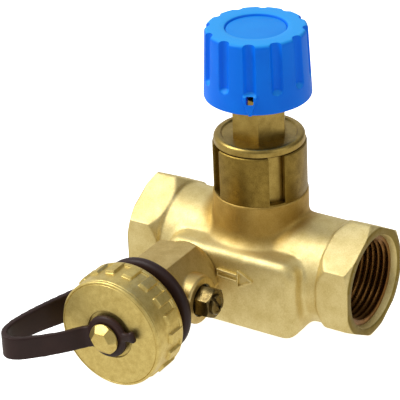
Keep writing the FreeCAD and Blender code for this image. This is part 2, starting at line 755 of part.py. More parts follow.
def drain_screw():
    """Screw with its slotted nub, the tip it presses on the seat, and the clip that keeps it in."""
    gap = s.running_gap
    body_radius = s.side_bore_radius - gap
    wire = s.screw_ring_wire
    ring_low = screw_start + wire
    pin_tip = tip_end - s.screw_pin_length + gap
    turned = revolved("screw_turned", [
        (0, pin_tip), (s.screw_pin_radius, pin_tip), (s.screw_pin_radius, screw_start),
        (body_radius, screw_start), (body_radius, ring_low), (body_radius - wire, ring_low),
        (body_radius - wire, ring_low + wire), (body_radius, ring_low + wire),
        (body_radius, screw_thread_end), (0, screw_thread_end)])
    corner = s.screw_hex_flats / ROOT_THREE
    bar = hexagon("screw_bar", s.screw_hex_flats, screw_hex_end - screw_thread_end, z=screw_thread_end)
    form = revolved("screw_bar_form", [
        (0, screw_thread_end), (corner, screw_thread_end), (corner, screw_hex_end - s.screw_hex_bevel),
        (corner - s.screw_hex_bevel, screw_hex_end), (0, screw_hex_end)])
    nub = cylinder("screw_nub", s.screw_nub_radius, s.screw_nub_length, z=screw_hex_end)
    slot_reach = s.screw_nub_radius + OUTSIDE
    slot = box("screw_slot", 2 * slot_reach, s.screw_slot_width, s.screw_slot_depth + OUTSIDE,
               x=-slot_reach, y=-s.screw_slot_width / 2, z=screw_end - s.screw_slot_depth)
    whole = fuse("screw_whole", [turned, common("screw_head", bar, form), nub])
    beside_drain(cut("screw_solid", whole, slot), "drain_screw")
    ring = torus("screw_ring", body_radius - wire / 2, wire / 2)
    ring_x = drain_x + ring_low + wire / 2
    keep(place(ring, x=ring_x, y=-s.side_boss_place, turn=ALONG_X), "drain_screw_o_ring")
    socket = s.screw_pin_radius + gap
    socket_floor = pin_tip - gap
    beside_drain(revolved("tip_turned", [
        (0, tip_start), (s.tip_radius, tip_start), (s.tip_radius, tip_end), (socket, tip_end),
        (socket, socket_floor), (0, socket_floor)]), "drain_tip")
    beside_drain(revolved("tip_seal", [
        (0, tip_start - s.tip_seal_thickness), (s.tip_radius, tip_start - s.tip_seal_thickness),
        (s.tip_radius, tip_start), (0, tip_start)]), "drain_tip_seal")
    beside_drain(tube("drain_clip_ring", s.side_bore_radius + s.drain_clip_grip, corner + 2 * gap,
                      drain_clip_low, drain_clip_high), "drain_clip")


def drain_cap():
    """Ribbed cap with its gasket and the riveted stud that carries the strap's eyelet."""
    bead_top = cap_base + s.cap_bead_length
    well = cap_end - s.cap_well_depth
    line = cap_end - s.cap_line_place
    body = revolved("cap_turned", [
        (cap_bore, cap_base), (cap_radius + s.cap_bead, cap_base), (cap_radius + s.cap_bead, bead_top),
        (cap_radius, bead_top), (cap_radius, line - s.cap_line_width), (cap_radius - s.cap_line_depth, line),
        (cap_radius, line), (cap_radius, cap_end), (cap_well_radius, cap_end), (cap_well_radius, well),
        (s.stud_radius, well), (s.stud_radius, cap_ceiling), (cap_bore, cap_ceiling)])
    rounded(body, "cap_front_edge", s.cap_edge, [(cap_radius, cap_end)])
    rib_low = cap_base + s.cap_rib_start
    rib_high = rib_low + s.cap_rib_length
    root = cap_radius - s.cap_bead
    profile = outline(body, "cap_rib_profile", [
        (root, rib_low), (cap_reach, rib_low),
        (cap_reach, rib_high - s.cap_rib_ramp), (cap_radius, rib_high), (root, rib_high)])
    rib = body.newObject("PartDesign::Pad", "cap_rib")
    rib.Profile = profile
    rib.Midplane = True
    bind(rib, Length=s.cap_rib_width)
    body.Tip = rib
    doc.recompute()
    repeated(body, "cap_ribs_all", rib, s.cap_ribs)
    on_drain(body, "drain_cap")
    gasket_low = cap_ceiling - s.gasket_thickness
    gasket = tube("cap_gasket_ring", cap_bore, s.gasket_hole_radius, gasket_low, cap_ceiling)
    on_drain(gasket, "cap_gasket")
    stud()


def stud():
    """Rivet with a round head whose top is cut to six facets round a hexagonal flat."""
    head_top = stud_head_base + s.stud_head_height
    bevel_low = head_top - s.stud_head_bevel
    turned = revolved("stud_turned", [
        (0, cap_ceiling), (s.stud_radius, cap_ceiling), (s.stud_radius, stud_head_base),
        (s.stud_head_radius, stud_head_base), (s.stud_head_radius, bevel_low), (0, bevel_low)])
    sections = []
    for name, apothem, height in (("low", s.stud_head_radius, bevel_low),
                                  ("high", s.stud_head_radius - s.stud_head_bevel, head_top)):
        polygon = doc.addObject("Part::RegularPolygon", f"stud_facets_{name}")
        polygon.Polygon = 6
        sections.append(place(bind(polygon, Circumradius=2 * apothem / ROOT_THREE), z=height))
    facets = doc.addObject("Part::Loft", "stud_facets")
    facets.Sections = sections
    facets.Solid = True
    facets.Ruled = True
    crown = cylinder("stud_crown", s.stud_head_radius, s.stud_head_bevel, z=bevel_low)
    on_drain(fuse("stud_solid", [turned, common("stud_top", facets, crown)]), "cap_stud")


def strap_side(points, radius, shift):
    """Edges of one side of a flat strap: its middle line moved left by shift, with round corners."""
    directions = [(after - before).normalize() for before, after in zip(points, points[1:])]
    lefts = [FreeCAD.Vector(-ahead.z, 0, ahead.x) for ahead in directions]
    corners = [points[0] + lefts[0] * shift]
    for point, before, after in zip(points[1:], lefts, lefts[1:]):
        bisector = (before + after).normalize()
        corners.append(point + bisector * (shift / bisector.dot(after)))
    corners.append(points[-1] + lefts[-1] * shift)
    edges = []
    start = corners[0]
    for corner, arrive, leave in zip(corners[1:], directions, directions[1:]):
        turn = arrive.getAngle(leave)
        setback = radius * math.tan(turn / 2)
        enter, depart = corner - arrive * setback, corner + leave * setback
        inward = (leave - arrive).normalize()
        middle = corner + inward * (radius / math.cos(turn / 2) - radius)
        edges += [Part.LineSegment(start, enter).toShape(), Part.Arc(enter, middle, depart).toShape()]
        start = depart
    edges.append(Part.LineSegment(start, corners[-1]).toShape())
    return edges


def band_shape():
    """The loop in the drain's frame: out from the ring, round, back to the eyelet, and sagging."""
    ring, eyelet, corner = strap_ring_radius.value, s.eyelet_radius.value, s.strap_corner.value
    half, width = s.strap_thickness.value / 2, s.strap_width.value
    beside = -(cap_reach + s.strap_clear).value
    left, near, far = beside - s.strap_reach.value, ring_middle.value, (cap_end + s.strap_bow).value
    stops = [(-ring + half, near + half), (beside, cap_base.value + half),
             (left, (near + 2 * far) / 3), (left, far - corner + half), (left + corner, far),
             (left + 2 * corner + half, far - corner), (-eyelet, eyelet_high.value - half / 2)]
    points = [FreeCAD.Vector(across, -width / 2, along) for across, along in stops]
    outer = strap_side(points, s.strap_bend.value + half, half)
    inner = strap_side(points[::-1], s.strap_bend.value - half, half)
    ends = [Part.LineSegment(one[-1].Vertexes[-1].Point, other[0].Vertexes[0].Point).toShape()
            for one, other in ((outer, inner), (inner, outer))]
    outline = Part.Wire(outer + [ends[0]] + inner + [ends[1]])
    band = Part.Face(outline).extrude(FreeCAD.Vector(0, width, 0))
    band.rotate(FreeCAD.Vector(-ring, 0, near), FreeCAD.Vector(1, 0, -1), s.strap_sag.value)
    return band


def strap():
    """Moulded rubber strap: a ring behind the hose thread, a flat loop and an eyelet on the stud."""
    low, high = ring_middle - s.strap_ring_thickness / 2, ring_middle + s.strap_ring_thickness / 2
    ring = tube("strap_ring_turned", strap_ring_radius, strap_ring_bore, low, high)
    rounded(ring, "strap_ring_edges", s.strap_thickness / 2, [
        (strap_ring_radius, low), (strap_ring_radius, high)])
    on_drain(ring, "strap_ring")
    eyelet = cylinder("eyelet_disc", s.eyelet_radius, s.eyelet_thickness, z=eyelet_low)
    tail_low = cap_end + s.soft_gap
    tail = box("eyelet_tail", s.eyelet_radius + s.tail_length, s.tail_width, eyelet_high - tail_low,
               y=-s.tail_width / 2, z=tail_low)
    hole = cylinder("eyelet_hole", s.stud_radius + s.soft_gap, s.eyelet_thickness, z=eyelet_low)
    solid = cut("eyelet_solid", fuse("eyelet_outside", [eyelet, tail]), hole)
    turn = TOWARDS_VIEWER * about_z(s.strap_lean.value)
    keep(place(solid, x=drain_x, turn=turn), "strap_eyelet")
    band = doc.addObject("Part::Feature", "band_sweep")
    band.Shape = band_shape()
    keep_out = [cylinder("band_ring_end", strap_ring_radius, s.strap_ring_thickness * 2,
                         z=ring_middle - s.strap_ring_thickness),
                cylinder("band_eyelet_end", s.eyelet_radius + s.soft_gap, s.eyelet_thickness * 3,
                         z=eyelet_low - s.eyelet_thickness)]
    on_drain(cut("band_solid", band, fuse("band_ends", keep_out)), "strap_band")


def check_and_write():
    """Stops on a failed object or shape, then writes one STEP file for each piece."""
    for thing in doc.Objects:
        if "Invalid" in thing.State or "Error" in thing.State:
            raise RuntimeError(f"{thing.Label} failed: {thing.State}")
    for piece in parts:
        if piece.Shape.isNull() or not piece.Shape.isValid():
            raise RuntimeError(f"{piece.Label} has no valid shape")
        if len(piece.Shape.Solids) != 1:
            raise RuntimeError(f"{piece.Label} has {len(piece.Shape.Solids)} solids")
    os.makedirs("parts", exist_ok=True)
    for piece in parts:
        piece.Shape.exportStep(f"parts/{piece.Label}.step")
        print(f"{piece.Label}: {piece.Shape.Volume:.0f} mm3")


valve_body()
bonnet()
spindle()
seat_cone()
knob()
drain_cock()
drain_screw()
drain_cap()
strap()
doc.recompute()
check_and_write()
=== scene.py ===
"""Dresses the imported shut-off valve: modelled pieces, materials, studio and camera.

Shapes are drawn in millimetres in the part's own frame and turned to metres as each
piece is finished. The run goes along +X, the stem points up along +Z and the drain
cock points along -Y.
"""
import json
import logging
import math
from dataclasses import dataclass
from enum import Enum
from typing import Callable, Iterable, Sequence

import bmesh
import bpy
from mathutils import Matrix, Vector


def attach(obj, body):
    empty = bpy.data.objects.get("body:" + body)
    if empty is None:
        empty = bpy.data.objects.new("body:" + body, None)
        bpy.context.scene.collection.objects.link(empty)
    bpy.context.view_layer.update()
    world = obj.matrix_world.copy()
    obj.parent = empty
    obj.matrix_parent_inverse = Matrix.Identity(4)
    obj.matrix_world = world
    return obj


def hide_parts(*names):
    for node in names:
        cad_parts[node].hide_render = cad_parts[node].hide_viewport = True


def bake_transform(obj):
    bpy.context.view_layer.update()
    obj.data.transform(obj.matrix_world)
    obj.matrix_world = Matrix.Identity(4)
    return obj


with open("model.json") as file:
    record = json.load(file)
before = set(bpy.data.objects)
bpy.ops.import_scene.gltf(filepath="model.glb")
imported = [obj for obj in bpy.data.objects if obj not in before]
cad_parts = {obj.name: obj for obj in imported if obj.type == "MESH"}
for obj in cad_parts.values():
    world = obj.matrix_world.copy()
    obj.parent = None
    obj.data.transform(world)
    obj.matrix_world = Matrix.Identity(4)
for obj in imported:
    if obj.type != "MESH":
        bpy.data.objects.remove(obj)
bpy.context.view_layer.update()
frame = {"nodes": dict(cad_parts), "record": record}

LOG = logging.getLogger("valve")

MM = 0.001
FULL_TURN = 2.0 * math.pi
STEM_X = 36.5
DRAIN_X = 23.0
STEM = Matrix.Translation((STEM_X, 0.0, 0.0))
DRAIN = Matrix.Translation((DRAIN_X, 0.0, 0.0)) @ Matrix.Rotation(math.pi / 2, 4, "X")
SIDE_BOSS_Y = -33.0
SIDE_BOSS = Matrix.Translation((DRAIN_X, SIDE_BOSS_Y, 0.0)) @ Matrix.Rotation(math.pi / 2, 4, "Y")
PIPE_THREAD_PITCH = 1.814
MERGED = 1e-4
ON_AXIS = 1e-6
DRIFT_MM = 12.0

Pair = tuple[float, float]
Triple = tuple[float, float, float]
Profile = Sequence[Pair]
Socket = bpy.types.NodeSocket


def linear(code: str) -> tuple[float, float, float, float]:
    """Turns an sRGB hex colour into linear values.

    Args:
        code: Six hex digits after a hash sign.

    Returns:
        Red, green, blue and an alpha of one.
    """
    values = [int(code[start:start + 2], 16) / 255 for start in (1, 3, 5)]
    parts = [v / 12.92 if v <= 0.04045 else ((v + 0.055) / 1.055) ** 2.4 for v in values]
    return (*parts, 1.0)


def add_node(tree: bpy.types.NodeTree, kind: str, inputs: dict | None = None,
             stops: Sequence[tuple[float, str]] = (), **settings) -> bpy.types.Node:
    """Adds a shader node, sets its properties and fills or links its inputs.

    Args:
        tree: The node tree that gets the node.
        kind: The node's type name after ShaderNode.
        inputs: Values or sockets for the node's inputs, by name or number.
        stops: Places from 0 to 1 with their hex colours, for a colour ramp.
        **settings: Properties of the node itself.

    Returns:
        The new node.
    """
    node = tree.nodes.new("ShaderNode" + kind)
    for name, value in settings.items():
        setattr(node, name, value)
    for key, value in (inputs or {}).items():
        if isinstance(value, Socket):
            tree.links.new(value, node.inputs[key])
        else:
            node.inputs[key].default_value = value
    if stops:
        elements = node.color_ramp.elements
        while len(elements) < len(stops):
            elements.new(0.5)
        for element, (place, code) in zip(elements, stops):
            element.position = place
            element.color = linear(code)
    return node


@dataclass(frozen=True)
class NeckDarkening:
    """A darker tone multiplied over a metal close to the stem and above the block, in millimetres."""

    tone: str
    inner: float
    outer: float
    low: float
    high: float

    def share(self, tree: bpy.types.NodeTree, place: Socket) -> Socket:
        """How much of the tone lies at a place, from 0 to 1."""
        from_stem = add_node(tree, "VectorMath", {0: place, 1: (STEM_X * MM, 0.0, 0.0)},
                             operation="SUBTRACT").outputs[0]
        flat = add_node(tree, "VectorMath", {0: from_stem, 1: (1.0, 1.0, 0.0)},
                        operation="MULTIPLY").outputs[0]
        radius = add_node(tree, "VectorMath", {0: flat}, operation="LENGTH").outputs["Value"]
        height = add_node(tree, "SeparateXYZ", {0: place}).outputs["Z"]
        near, above = (add_node(tree, "MapRange", {
            "Value": value, "From Min": none * MM, "From Max": full * MM},
            interpolation_type="SMOOTHSTEP").outputs[0]
            for value, none, full in ((radius, self.outer, self.inner), (height, self.low, self.high)))
        return add_node(tree, "Math", {0: near, 1: above}, operation="MULTIPLY").outputs[0]


@dataclass(frozen=True)
class Facing:
    """A tone that lies on a metal at the run's turned ends, by the distance from the stem in millimetres."""

    tone: str
    start: float
    full: float

    def share(self, tree: bpy.types.NodeTree, place: Socket) -> Socket:
        """How much of the tone lies at a place, from 0 to 1."""
        along = add_node(tree, "SeparateXYZ", {0: place}).outputs["X"]
        aside = add_node(tree, "Math", {0: along, 1: STEM_X * MM}, operation="SUBTRACT").outputs[0]
        away = add_node(tree, "Math", {0: aside}, operation="ABSOLUTE").outputs[0]
        return add_node(tree, "MapRange", {
            "Value": away, "From Min": self.start * MM, "From Max": self.full * MM}).outputs[0]


@dataclass(frozen=True)
class Surface:
    """A finish of two tones over a fine grain, with its sizes in millimetres."""

    name: str
    light: str
    dark: str
    roughness: Pair
    grain_mm: float
    grain_depth: float

    def paint(self, tree: bpy.types.NodeTree, place: Socket) -> tuple[Socket, Socket, Socket, Pair]:
        """Adds the nodes that differ from finish to finish.

        Args:
            tree: The material's node tree.
            place: The Object coordinates.

        Returns:
            The colour, what the gloss follows, the grain, and the roughness from its low to its high end.
        """
        raise NotImplementedError

    def make(self) -> bpy.types.Material:
        """Builds the material from noise on Object coordinates."""
        material = bpy.data.materials.new(self.name)
        material.use_nodes = True
        tree = material.node_tree
        shader = tree.nodes["Principled BSDF"]
        place = add_node(tree, "TexCoord").outputs["Object"]
        colour, drift, grain, span = self.paint(tree, place)
        rough = add_node(tree, "MapRange", {
            "Value": drift, "From Min": 0.3, "From Max": 0.7, "To Min": span[0], "To Max": span[1]})
        bump = add_node(tree, "Bump", {"Height": grain, "Strength": 1.0, "Distance": self.grain_depth * MM})
        tree.links.new(colour, shader.inputs["Base Color"])
        tree.links.new(rough.outputs[0], shader.inputs["Roughness"])
        tree.links.new(bump.outputs[0], shader.inputs["Normal"])
        return material


@dataclass(frozen=True)
class Metal(Surface):
    """A metal whose tones drift into each other, with further tones laid over it."""

    mottle_mm: float
    layers: tuple = ()

    def paint(self, tree: bpy.types.NodeTree, place: Socket) -> tuple[Socket, Socket, Socket, Pair]:
        """Mottles the metal; its darker places are the rougher ones."""
        tree.nodes["Principled BSDF"].inputs["Metallic"].default_value = 1.0
        mottle, grain = (add_node(tree, "TexNoise", {
            "Vector": place, "Scale": 1.0 / (size * MM), "Detail": detail, "Roughness": rough}).outputs[0]
            for size, detail, rough in ((self.mottle_mm, 4.0, 0.6), (self.grain_mm, 3.0, 0.65)))
        mixed = add_node(tree, "Mix", {0: 0.45, 2: mottle, 3: grain}).outputs[0]
        stops = [(0.3, self.dark), (0.66, self.light)]
        colour = add_node(tree, "ValToRGB", {"Fac": mixed}, stops).outputs["Color"]
        for layer in self.layers:
            colour = add_node(tree, "Mix", {0: layer.share(tree, place), 6: colour, 7: linear(layer.tone)},
                              data_type="RGBA", blend_type="MULTIPLY").outputs[2]
        return colour, mixed, grain, self.roughness[::-1]


@dataclass(frozen=True)
class Moulded(Surface):
    """A moulded plastic or rubber with slightly uneven gloss, and a painted highlight: a paler tone on the
    faces that look up.
    """

    gloss: float = 0.5
    # Colour of the painted highlight on the faces that look up; empty for none
    top: str = ""

    def paint(self, tree: bpy.types.NodeTree, place: Socket) -> tuple[Socket, Socket, Socket, Pair]:
        """Drifts from tone to tone and paints a highlight, a paler tone, on the faces that look up."""
        tree.nodes["Principled BSDF"].inputs["Specular IOR Level"].default_value = self.gloss
        drift, grain = (add_node(tree, "TexNoise", {
            "Vector": place, "Scale": 1.0 / (size * MM), "Detail": 2.0}).outputs[0]
            for size in (DRIFT_MM, self.grain_mm))
        colour = add_node(tree, "ValToRGB", {"Fac": drift},
                          [(0.3, self.dark), (0.7, self.light)]).outputs["Color"]
        # Painted highlight: faces that look up are mixed towards the paler top tone
        if self.top:
            upright = add_node(tree, "SeparateXYZ", {
                0: add_node(tree, "TexCoord").outputs["Normal"]}).outputs["Z"]
            upward = add_node(tree, "MapRange", {"Value": upright, "From Min": 0.3, "From Max": 0.95})
            colour = add_node(tree, "Mix", {0: upward.outputs[0], 6: colour, 7: linear(self.top)},
                              data_type="RGBA").outputs[2]
        return colour, grain, grain, self.roughness


class Finish(Enum):
    """The record's material slots, each with the finish it is given here."""

    # Blasted brass casting: pale and matt, pebbled, browner at the neck, duller at the faced ends
    CAST_BRASS = ("cast_brass", Metal(
        "blasted_cast_brass", "#ecdca2", "#d2bd7a", (0.48, 0.6), 0.42, 0.06, 5.0,
        layers=(NeckDarkening("#cdb98f", 15.2, 19.5, 7.0, 12.5), Facing("#9a9061", 37.7, 37.95))))
    # Forged brass of the drain cock: drawn bar, yellower and a little smoother than the casting
    BAR_BRASS = ("cast_brass", Metal("drawn_bar_brass", "#d9c284", "#b99f5e", (0.4, 0.52), 0.36, 0.04, 3.0))
    # Brass of the drain screw: browner than the casting, with a near-black tone mottled all over it as
    # painted shade for its dark front flats
    SCREW_BRASS = ("cast_brass", Metal(
        "painted_shade_screw_brass", "#8a784c", "#40341c", (0.24, 0.36), 0.3, 0.03, 1.6))
    # Turned brass that has dulled: browner, with a tight grain
    MACHINED_BRASS = ("machined_brass", Metal(
        "dulled_turned_brass", "#b59d58", "#8b7338", (0.3, 0.44), 0.3, 0.02, 3.0))
    # Turned brass left bare to the air: brown, as on the slotted collar
    BARE_BRASS = ("machined_brass", Metal(
        "oxidised_turned_brass", "#98803f", "#705a26", (0.34, 0.48), 0.3, 0.03, 2.4))
    # The cut threads of the ports: dark brown all over, painted shade for the inside of the bores
    PORT_BRASS = ("machined_brass", Metal(
        "painted_shade_cut_brass", "#946a38", "#60401d", (0.22, 0.34), 0.3, 0.03, 2.4))
    # Forged and tumbled brass: yellow, with a fine even sparkle
    CAP_BRASS = ("cap_brass", Metal(
        "tumbled_forged_brass", "#e6d287", "#c2a85c", (0.38, 0.5), 0.32, 0.045, 2.2))
    # Zinc plated steel
    STEEL = ("steel", Metal("zinc_plated_steel", "#c4c6c8", "#a2a5a9", (0.22, 0.34), 0.4, 0.006, 4.0))
    # Nitrile rubber seals
    SEAL_RUBBER = ("seal_rubber", Moulded(
        "nitrile_rubber", "#221a14", "#17110d", (0.5, 0.62), 0.4, 0.01, 0.3))
    # Moulded brown rubber: satin, nearly black in the shade
    STRAP_RUBBER = ("strap_rubber", Moulded(
        "brown_moulded_rubber", "#37221f", "#261514", (0.4, 0.52), 0.35, 0.012, 0.28))
    # Injection moulded polyamide in a strong blue, with a painted highlight in a paler blue on the faces
    # that look up
    KNOB_PLASTIC = ("knob_plastic", Moulded(
        "blue_polyamide", "#007cfc", "#0072f4", (0.4, 0.5), 0.3, 0.004, 0.14, "#2ca4fb"))
    # The same plastic from another mould, a little darker
    DISC_PLASTIC = ("disc_plastic", Moulded(
        "blue_polyamide_disc", "#1496f6", "#0e8cf0", (0.4, 0.5), 0.3, 0.004, 0.18))

    def __init__(self, slot: str, recipe: Metal | Moulded) -> None:
        """Keeps the slot's name and the recipe of its material."""
        self.slot = slot
        self.recipe = recipe

    def material(self) -> bpy.types.Material:
        """The finish's material, made the first time it is asked for."""
        return bpy.data.materials.get(self.recipe.name) or self.recipe.make()


class Shape:
    """A mesh in the making, in millimetres; each method that changes it returns the shape itself."""

    def __init__(self) -> None:
        """Starts empty."""
        self.bm = bmesh.new()

    def lathe(self, profile: Profile, steps: int) -> "Shape":
        """Turns an outline about the Z axis into a closed shell.

        Args:
            profile: Corners as (radius, height), round a ring or from the axis to the axis.
            steps: Steps in a full turn.
        """
        verts = [self.bm.verts.new((radius, 0.0, height)) for radius, height in profile]
        edges = [self.bm.edges.new(pair) for pair in zip(verts, verts[1:] + verts[:1])
                 if abs(pair[0].co.x) + abs(pair[1].co.x) > ON_AXIS]
        bmesh.ops.spin(self.bm, geom=verts + edges, cent=(0, 0, 0), axis=(0, 0, 1), dvec=(0, 0, 0),
                       angle=FULL_TURN, steps=steps, use_merge=True)
        return self.clean()

    def rod(self, radius: float, low: float, high: float, steps: int) -> "Shape":
        """Turns a plain cylinder about the Z axis."""
        return self.lathe([(0, low), (radius, low), (radius, high), (0, high)], steps)

    def screw(self, pitch_profile: Profile, pitch: float, turns: int, steps: int,
              low: float, high: float) -> "Shape":
        """Sweeps one pitch of a thread round the Z axis and trims it to a solid rod.

        Args:
            pitch_profile: Corners as (radius, height), one pitch from first to last.
            pitch: Climb of one turn.
            turns: Number of turns, enough to pass both ends.
            steps: Steps in a turn.
            low: Height of the rod's lower end.
            high: Height of its upper end.
        """
        verts = [self.bm.verts.new((radius, 0.0, height)) for radius, height in pitch_profile]
        edges = [self.bm.edges.new(pair) for pair in zip(verts, verts[1:])]
        bmesh.ops.spin(self.bm, geom=verts + edges, cent=(0, 0, 0), axis=(0, 0, 1),
                       dvec=(0, 0, pitch / steps), angle=FULL_TURN * turns, steps=steps * turns)
        bmesh.ops.remove_doubles(self.bm, verts=self.bm.verts, dist=1e-3)
        for height, away in ((low, -1.0), (high, 1.0)):
            bmesh.ops.bisect_plane(self.bm, geom=self.bm.verts[:] + self.bm.edges[:] + self.bm.faces[:],
                                   plane_co=(0, 0, height), plane_no=(0, 0, away), clear_outer=True)
        bmesh.ops.edgeloop_fill(self.bm, edges=[edge for edge in self.bm.edges if edge.is_boundary])
        bmesh.ops.triangulate(self.bm, faces=[face for face in self.bm.faces if len(face.verts) > 4])
        return self.clean()

    def prism(self, sides: int, flats: float, low: float, high: float, turn: float = 0.0) -> "Shape":
        """Adds a regular prism along Z.

        Args:
            sides: Number of sides.
            flats: Width between two flats.
            low: Height of the lower face.
            high: Height of the upper face.
            turn: Angle in degrees of the first corner from X.
        """
        radius = flats / 2 / math.cos(math.pi / sides)
        place = Matrix.Translation((0, 0, low)) @ Matrix.Rotation(math.radians(turn), 4, "Z")
        corners = bmesh.ops.create_circle(self.bm, cap_ends=True, segments=sides, radius=radius,
                                          matrix=place @ Matrix.Rotation(-math.pi / 2, 4, "Z"))["verts"]
        faces = {face for vert in corners for face in vert.link_faces}
        grown = bmesh.ops.extrude_face_region(self.bm, geom=list(faces))["geom"]
        tops = [item for item in grown if isinstance(item, bmesh.types.BMVert)]
        bmesh.ops.translate(self.bm, verts=tops, vec=(0, 0, high - low))
        return self.clean()

    def block(self, size: Triple, centre: Triple, bevel: float,
              segments: int = 4) -> "Shape":
        """Adds a box with all its edges rounded.

        Args:
            size: Length, depth and height.
            centre: Its middle.
            bevel: Radius of the edges.
            segments: Segments of the rounding.
        """
        place = Matrix.Translation(centre) @ Matrix.Diagonal((*size, 1.0))
        verts = bmesh.ops.create_cube(self.bm, size=1.0, matrix=place)["verts"]
        if bevel:
            self.round_off({edge for vert in verts for edge in vert.link_edges}, bevel, segments)
        return self

    def round_off(self, edges: Iterable[bmesh.types.BMEdge], radius: float, segments: int) -> None:
        """Rounds some edges of the shape."""
        bmesh.ops.bevel(self.bm, geom=list(edges), offset=radius, offset_type="OFFSET", segments=segments,
                        profile=0.5, affect="EDGES", material=-1)

    def slab(self, size: Triple, corner: float, edge: float) -> "Shape":
        """Adds a box whose front has round corners, with all its other edges broken.

        Args:
            size: Length, depth and height; the front faces along Y.
            corner: Radius of the front's corners, cut right through the depth.
            edge: Radius round the front and the back.
        """
        verts = bmesh.ops.create_cube(self.bm, size=1.0, matrix=Matrix.Diagonal((*size, 1.0)))["verts"]
        self.round_off({item for vert in verts for item in vert.link_edges
                        if abs(item.verts[0].co.y - item.verts[1].co.y) > size[1] / 2}, corner, 8)
        self.round_off([item for item in self.bm.edges
                        if abs(item.verts[0].co.y - item.verts[1].co.y) < MERGED], edge, 5)
        return self

    def clean(self) -> "Shape":
        """Merges doubles and turns every face outwards."""
        bmesh.ops.remove_doubles(self.bm, verts=self.bm.verts, dist=MERGED)
        bmesh.ops.recalc_face_normals(self.bm, faces=self.bm.faces)
        return self

    def move(self, matrix: Matrix) -> "Shape":
        """Moves the whole shape by a matrix."""
        bmesh.ops.transform(self.bm, matrix=matrix, verts=self.bm.verts)
        return self

    def add(self, other: "Shape") -> "Shape":
        """Adds another shape's shells to this one, which uses the other up."""
        mesh = other.to_mesh("part")
        self.bm.from_mesh(mesh)
        bpy.data.meshes.remove(mesh)
        return self

    def press(self, change: Callable[[Vector], Vector]) -> "Shape":
        """Moves each vertex to where a function puts it."""
        for vert in self.bm.verts:
            vert.co = change(vert.co)
        return self

    def smooth(self, times: int, where: Callable[[Vector], bool] = lambda place: True) -> "Shape":
        """Relaxes the vertices of one region.

        Args:
            times: How many passes.
            where: Says whether a vertex belongs to the region.
        """
        chosen = [vert for vert in self.bm.verts if where(vert.co)]
        for _ in range(times):
            bmesh.ops.smooth_vert(self.bm, verts=chosen, factor=0.5, use_axis_x=True, use_axis_y=True,
                                  use_axis_z=True)
        return self

    def to_mesh(self, name: str) -> bpy.types.Mesh:
        """Writes the shape to a new mesh and frees it."""
        mesh = bpy.data.meshes.new(name)
        self.bm.to_mesh(mesh)
        self.bm.free()
        return mesh

    def through(self, kind: str, tool: "Shape | None" = None, **settings) -> "Shape":
        """Runs the shape through one modifier.

        Args:
            kind: The modifier's type.
            tool: Another shape that the modifier needs, which is used up.
            **settings: The modifier's properties.
        """
        holder = bpy.data.objects.new("holder", self.to_mesh("holder"))
        bpy.context.scene.collection.objects.link(holder)
        step = holder.modifiers.new("step", kind)
        helper = None
        if tool is not None:
            helper = bpy.data.objects.new("helper", tool.to_mesh("helper"))
            bpy.context.scene.collection.objects.link(helper)
            step.object = helper
        for name, value in settings.items():
            setattr(step, name, value)
        bpy.context.view_layer.update()
        result = bpy.data.meshes.new_from_object(holder.evaluated_get(bpy.context.evaluated_depsgraph_get()))
        self.bm = bmesh.new()
        self.bm.from_mesh(result)
        for item in (holder, helper):
            if item is not None:
                used = item.data
                bpy.data.objects.remove(item)
                bpy.data.meshes.remove(used)
        bpy.data.meshes.remove(result)
        return self

    def melt(self, voxel: float, passes: int) -> "Shape":
        """Unites all shells into one skin of small squares and softens its edges.

        Args:
            voxel: Size of the squares.
            passes: Smoothing passes afterwards.
        """
        return self.through("REMESH", mode="VOXEL", voxel_size=voxel).smooth(passes)

    def cut(self, tool: "Shape", how: str = "DIFFERENCE") -> "Shape":
        """Cuts another shape out of this one, or with INTERSECT or UNION joins the two."""
        return self.through("BOOLEAN", tool, operation=how, solver="EXACT")

    def chamfer(self, width: float, segments: int = 2) -> "Shape":
        """Rounds every edge sharper than 35 degrees."""
        return self.through("BEVEL", width=width, segments=segments, limit_method="ANGLE",
                            angle_limit=math.radians(35), use_clamp_overlap=True)

    def finish(self, name: str, body: str | None, finish: Finish, replaces: Iterable[str] = (),
               sharp: float = 40.0) -> bpy.types.Object:
        """Makes the shape a piece of the valve, in metres.

        Args:
            name: The piece's name.
            body: The body it rides on, or None for a piece that rides on no body.
            finish: Its finish.
            replaces: The CAD nodes that it stands for.
            sharp: Angle in degrees past which an edge is shaded sharp.

        Returns:
            The piece's object.
        """
        bmesh.ops.scale(self.bm, vec=(MM, MM, MM), verts=self.bm.verts)
        mesh = self.to_mesh(name)
        mesh.shade_smooth()
        mesh.set_sharp_from_angle(angle=math.radians(sharp))
        mesh.materials.append(finish.material())
        piece = bpy.data.objects.new(name, mesh)
        bpy.context.scene.collection.objects.link(piece)
        if replaces:
            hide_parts(*replaces)
        if body:
            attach(piece, body)
        LOG.info("%s: %d faces", name, len(mesh.polygons))
        return piece


def port(end: float, inwards: float) -> Matrix:
    """Where a port's end face lies along the run, with Z pointing into the valve."""
    return Matrix.Translation((end, 0, 0)) @ Matrix.Rotation(math.pi / 2 * inwards, 4, "Y")


def soft_least(one: float, other: float, width: float) -> float:
    """The smaller of two values, with a round change from one to the other over a width."""
    share = max(width - abs(one - other), 0.0) / width
    return min(one, other) - share * share * width / 4


def steps_between(start: float, end: float, count: int) -> list[float]:
    """Evenly spaced values from start to end, both included."""
    return [start + (end - start) * index / count for index in range(count + 1)]


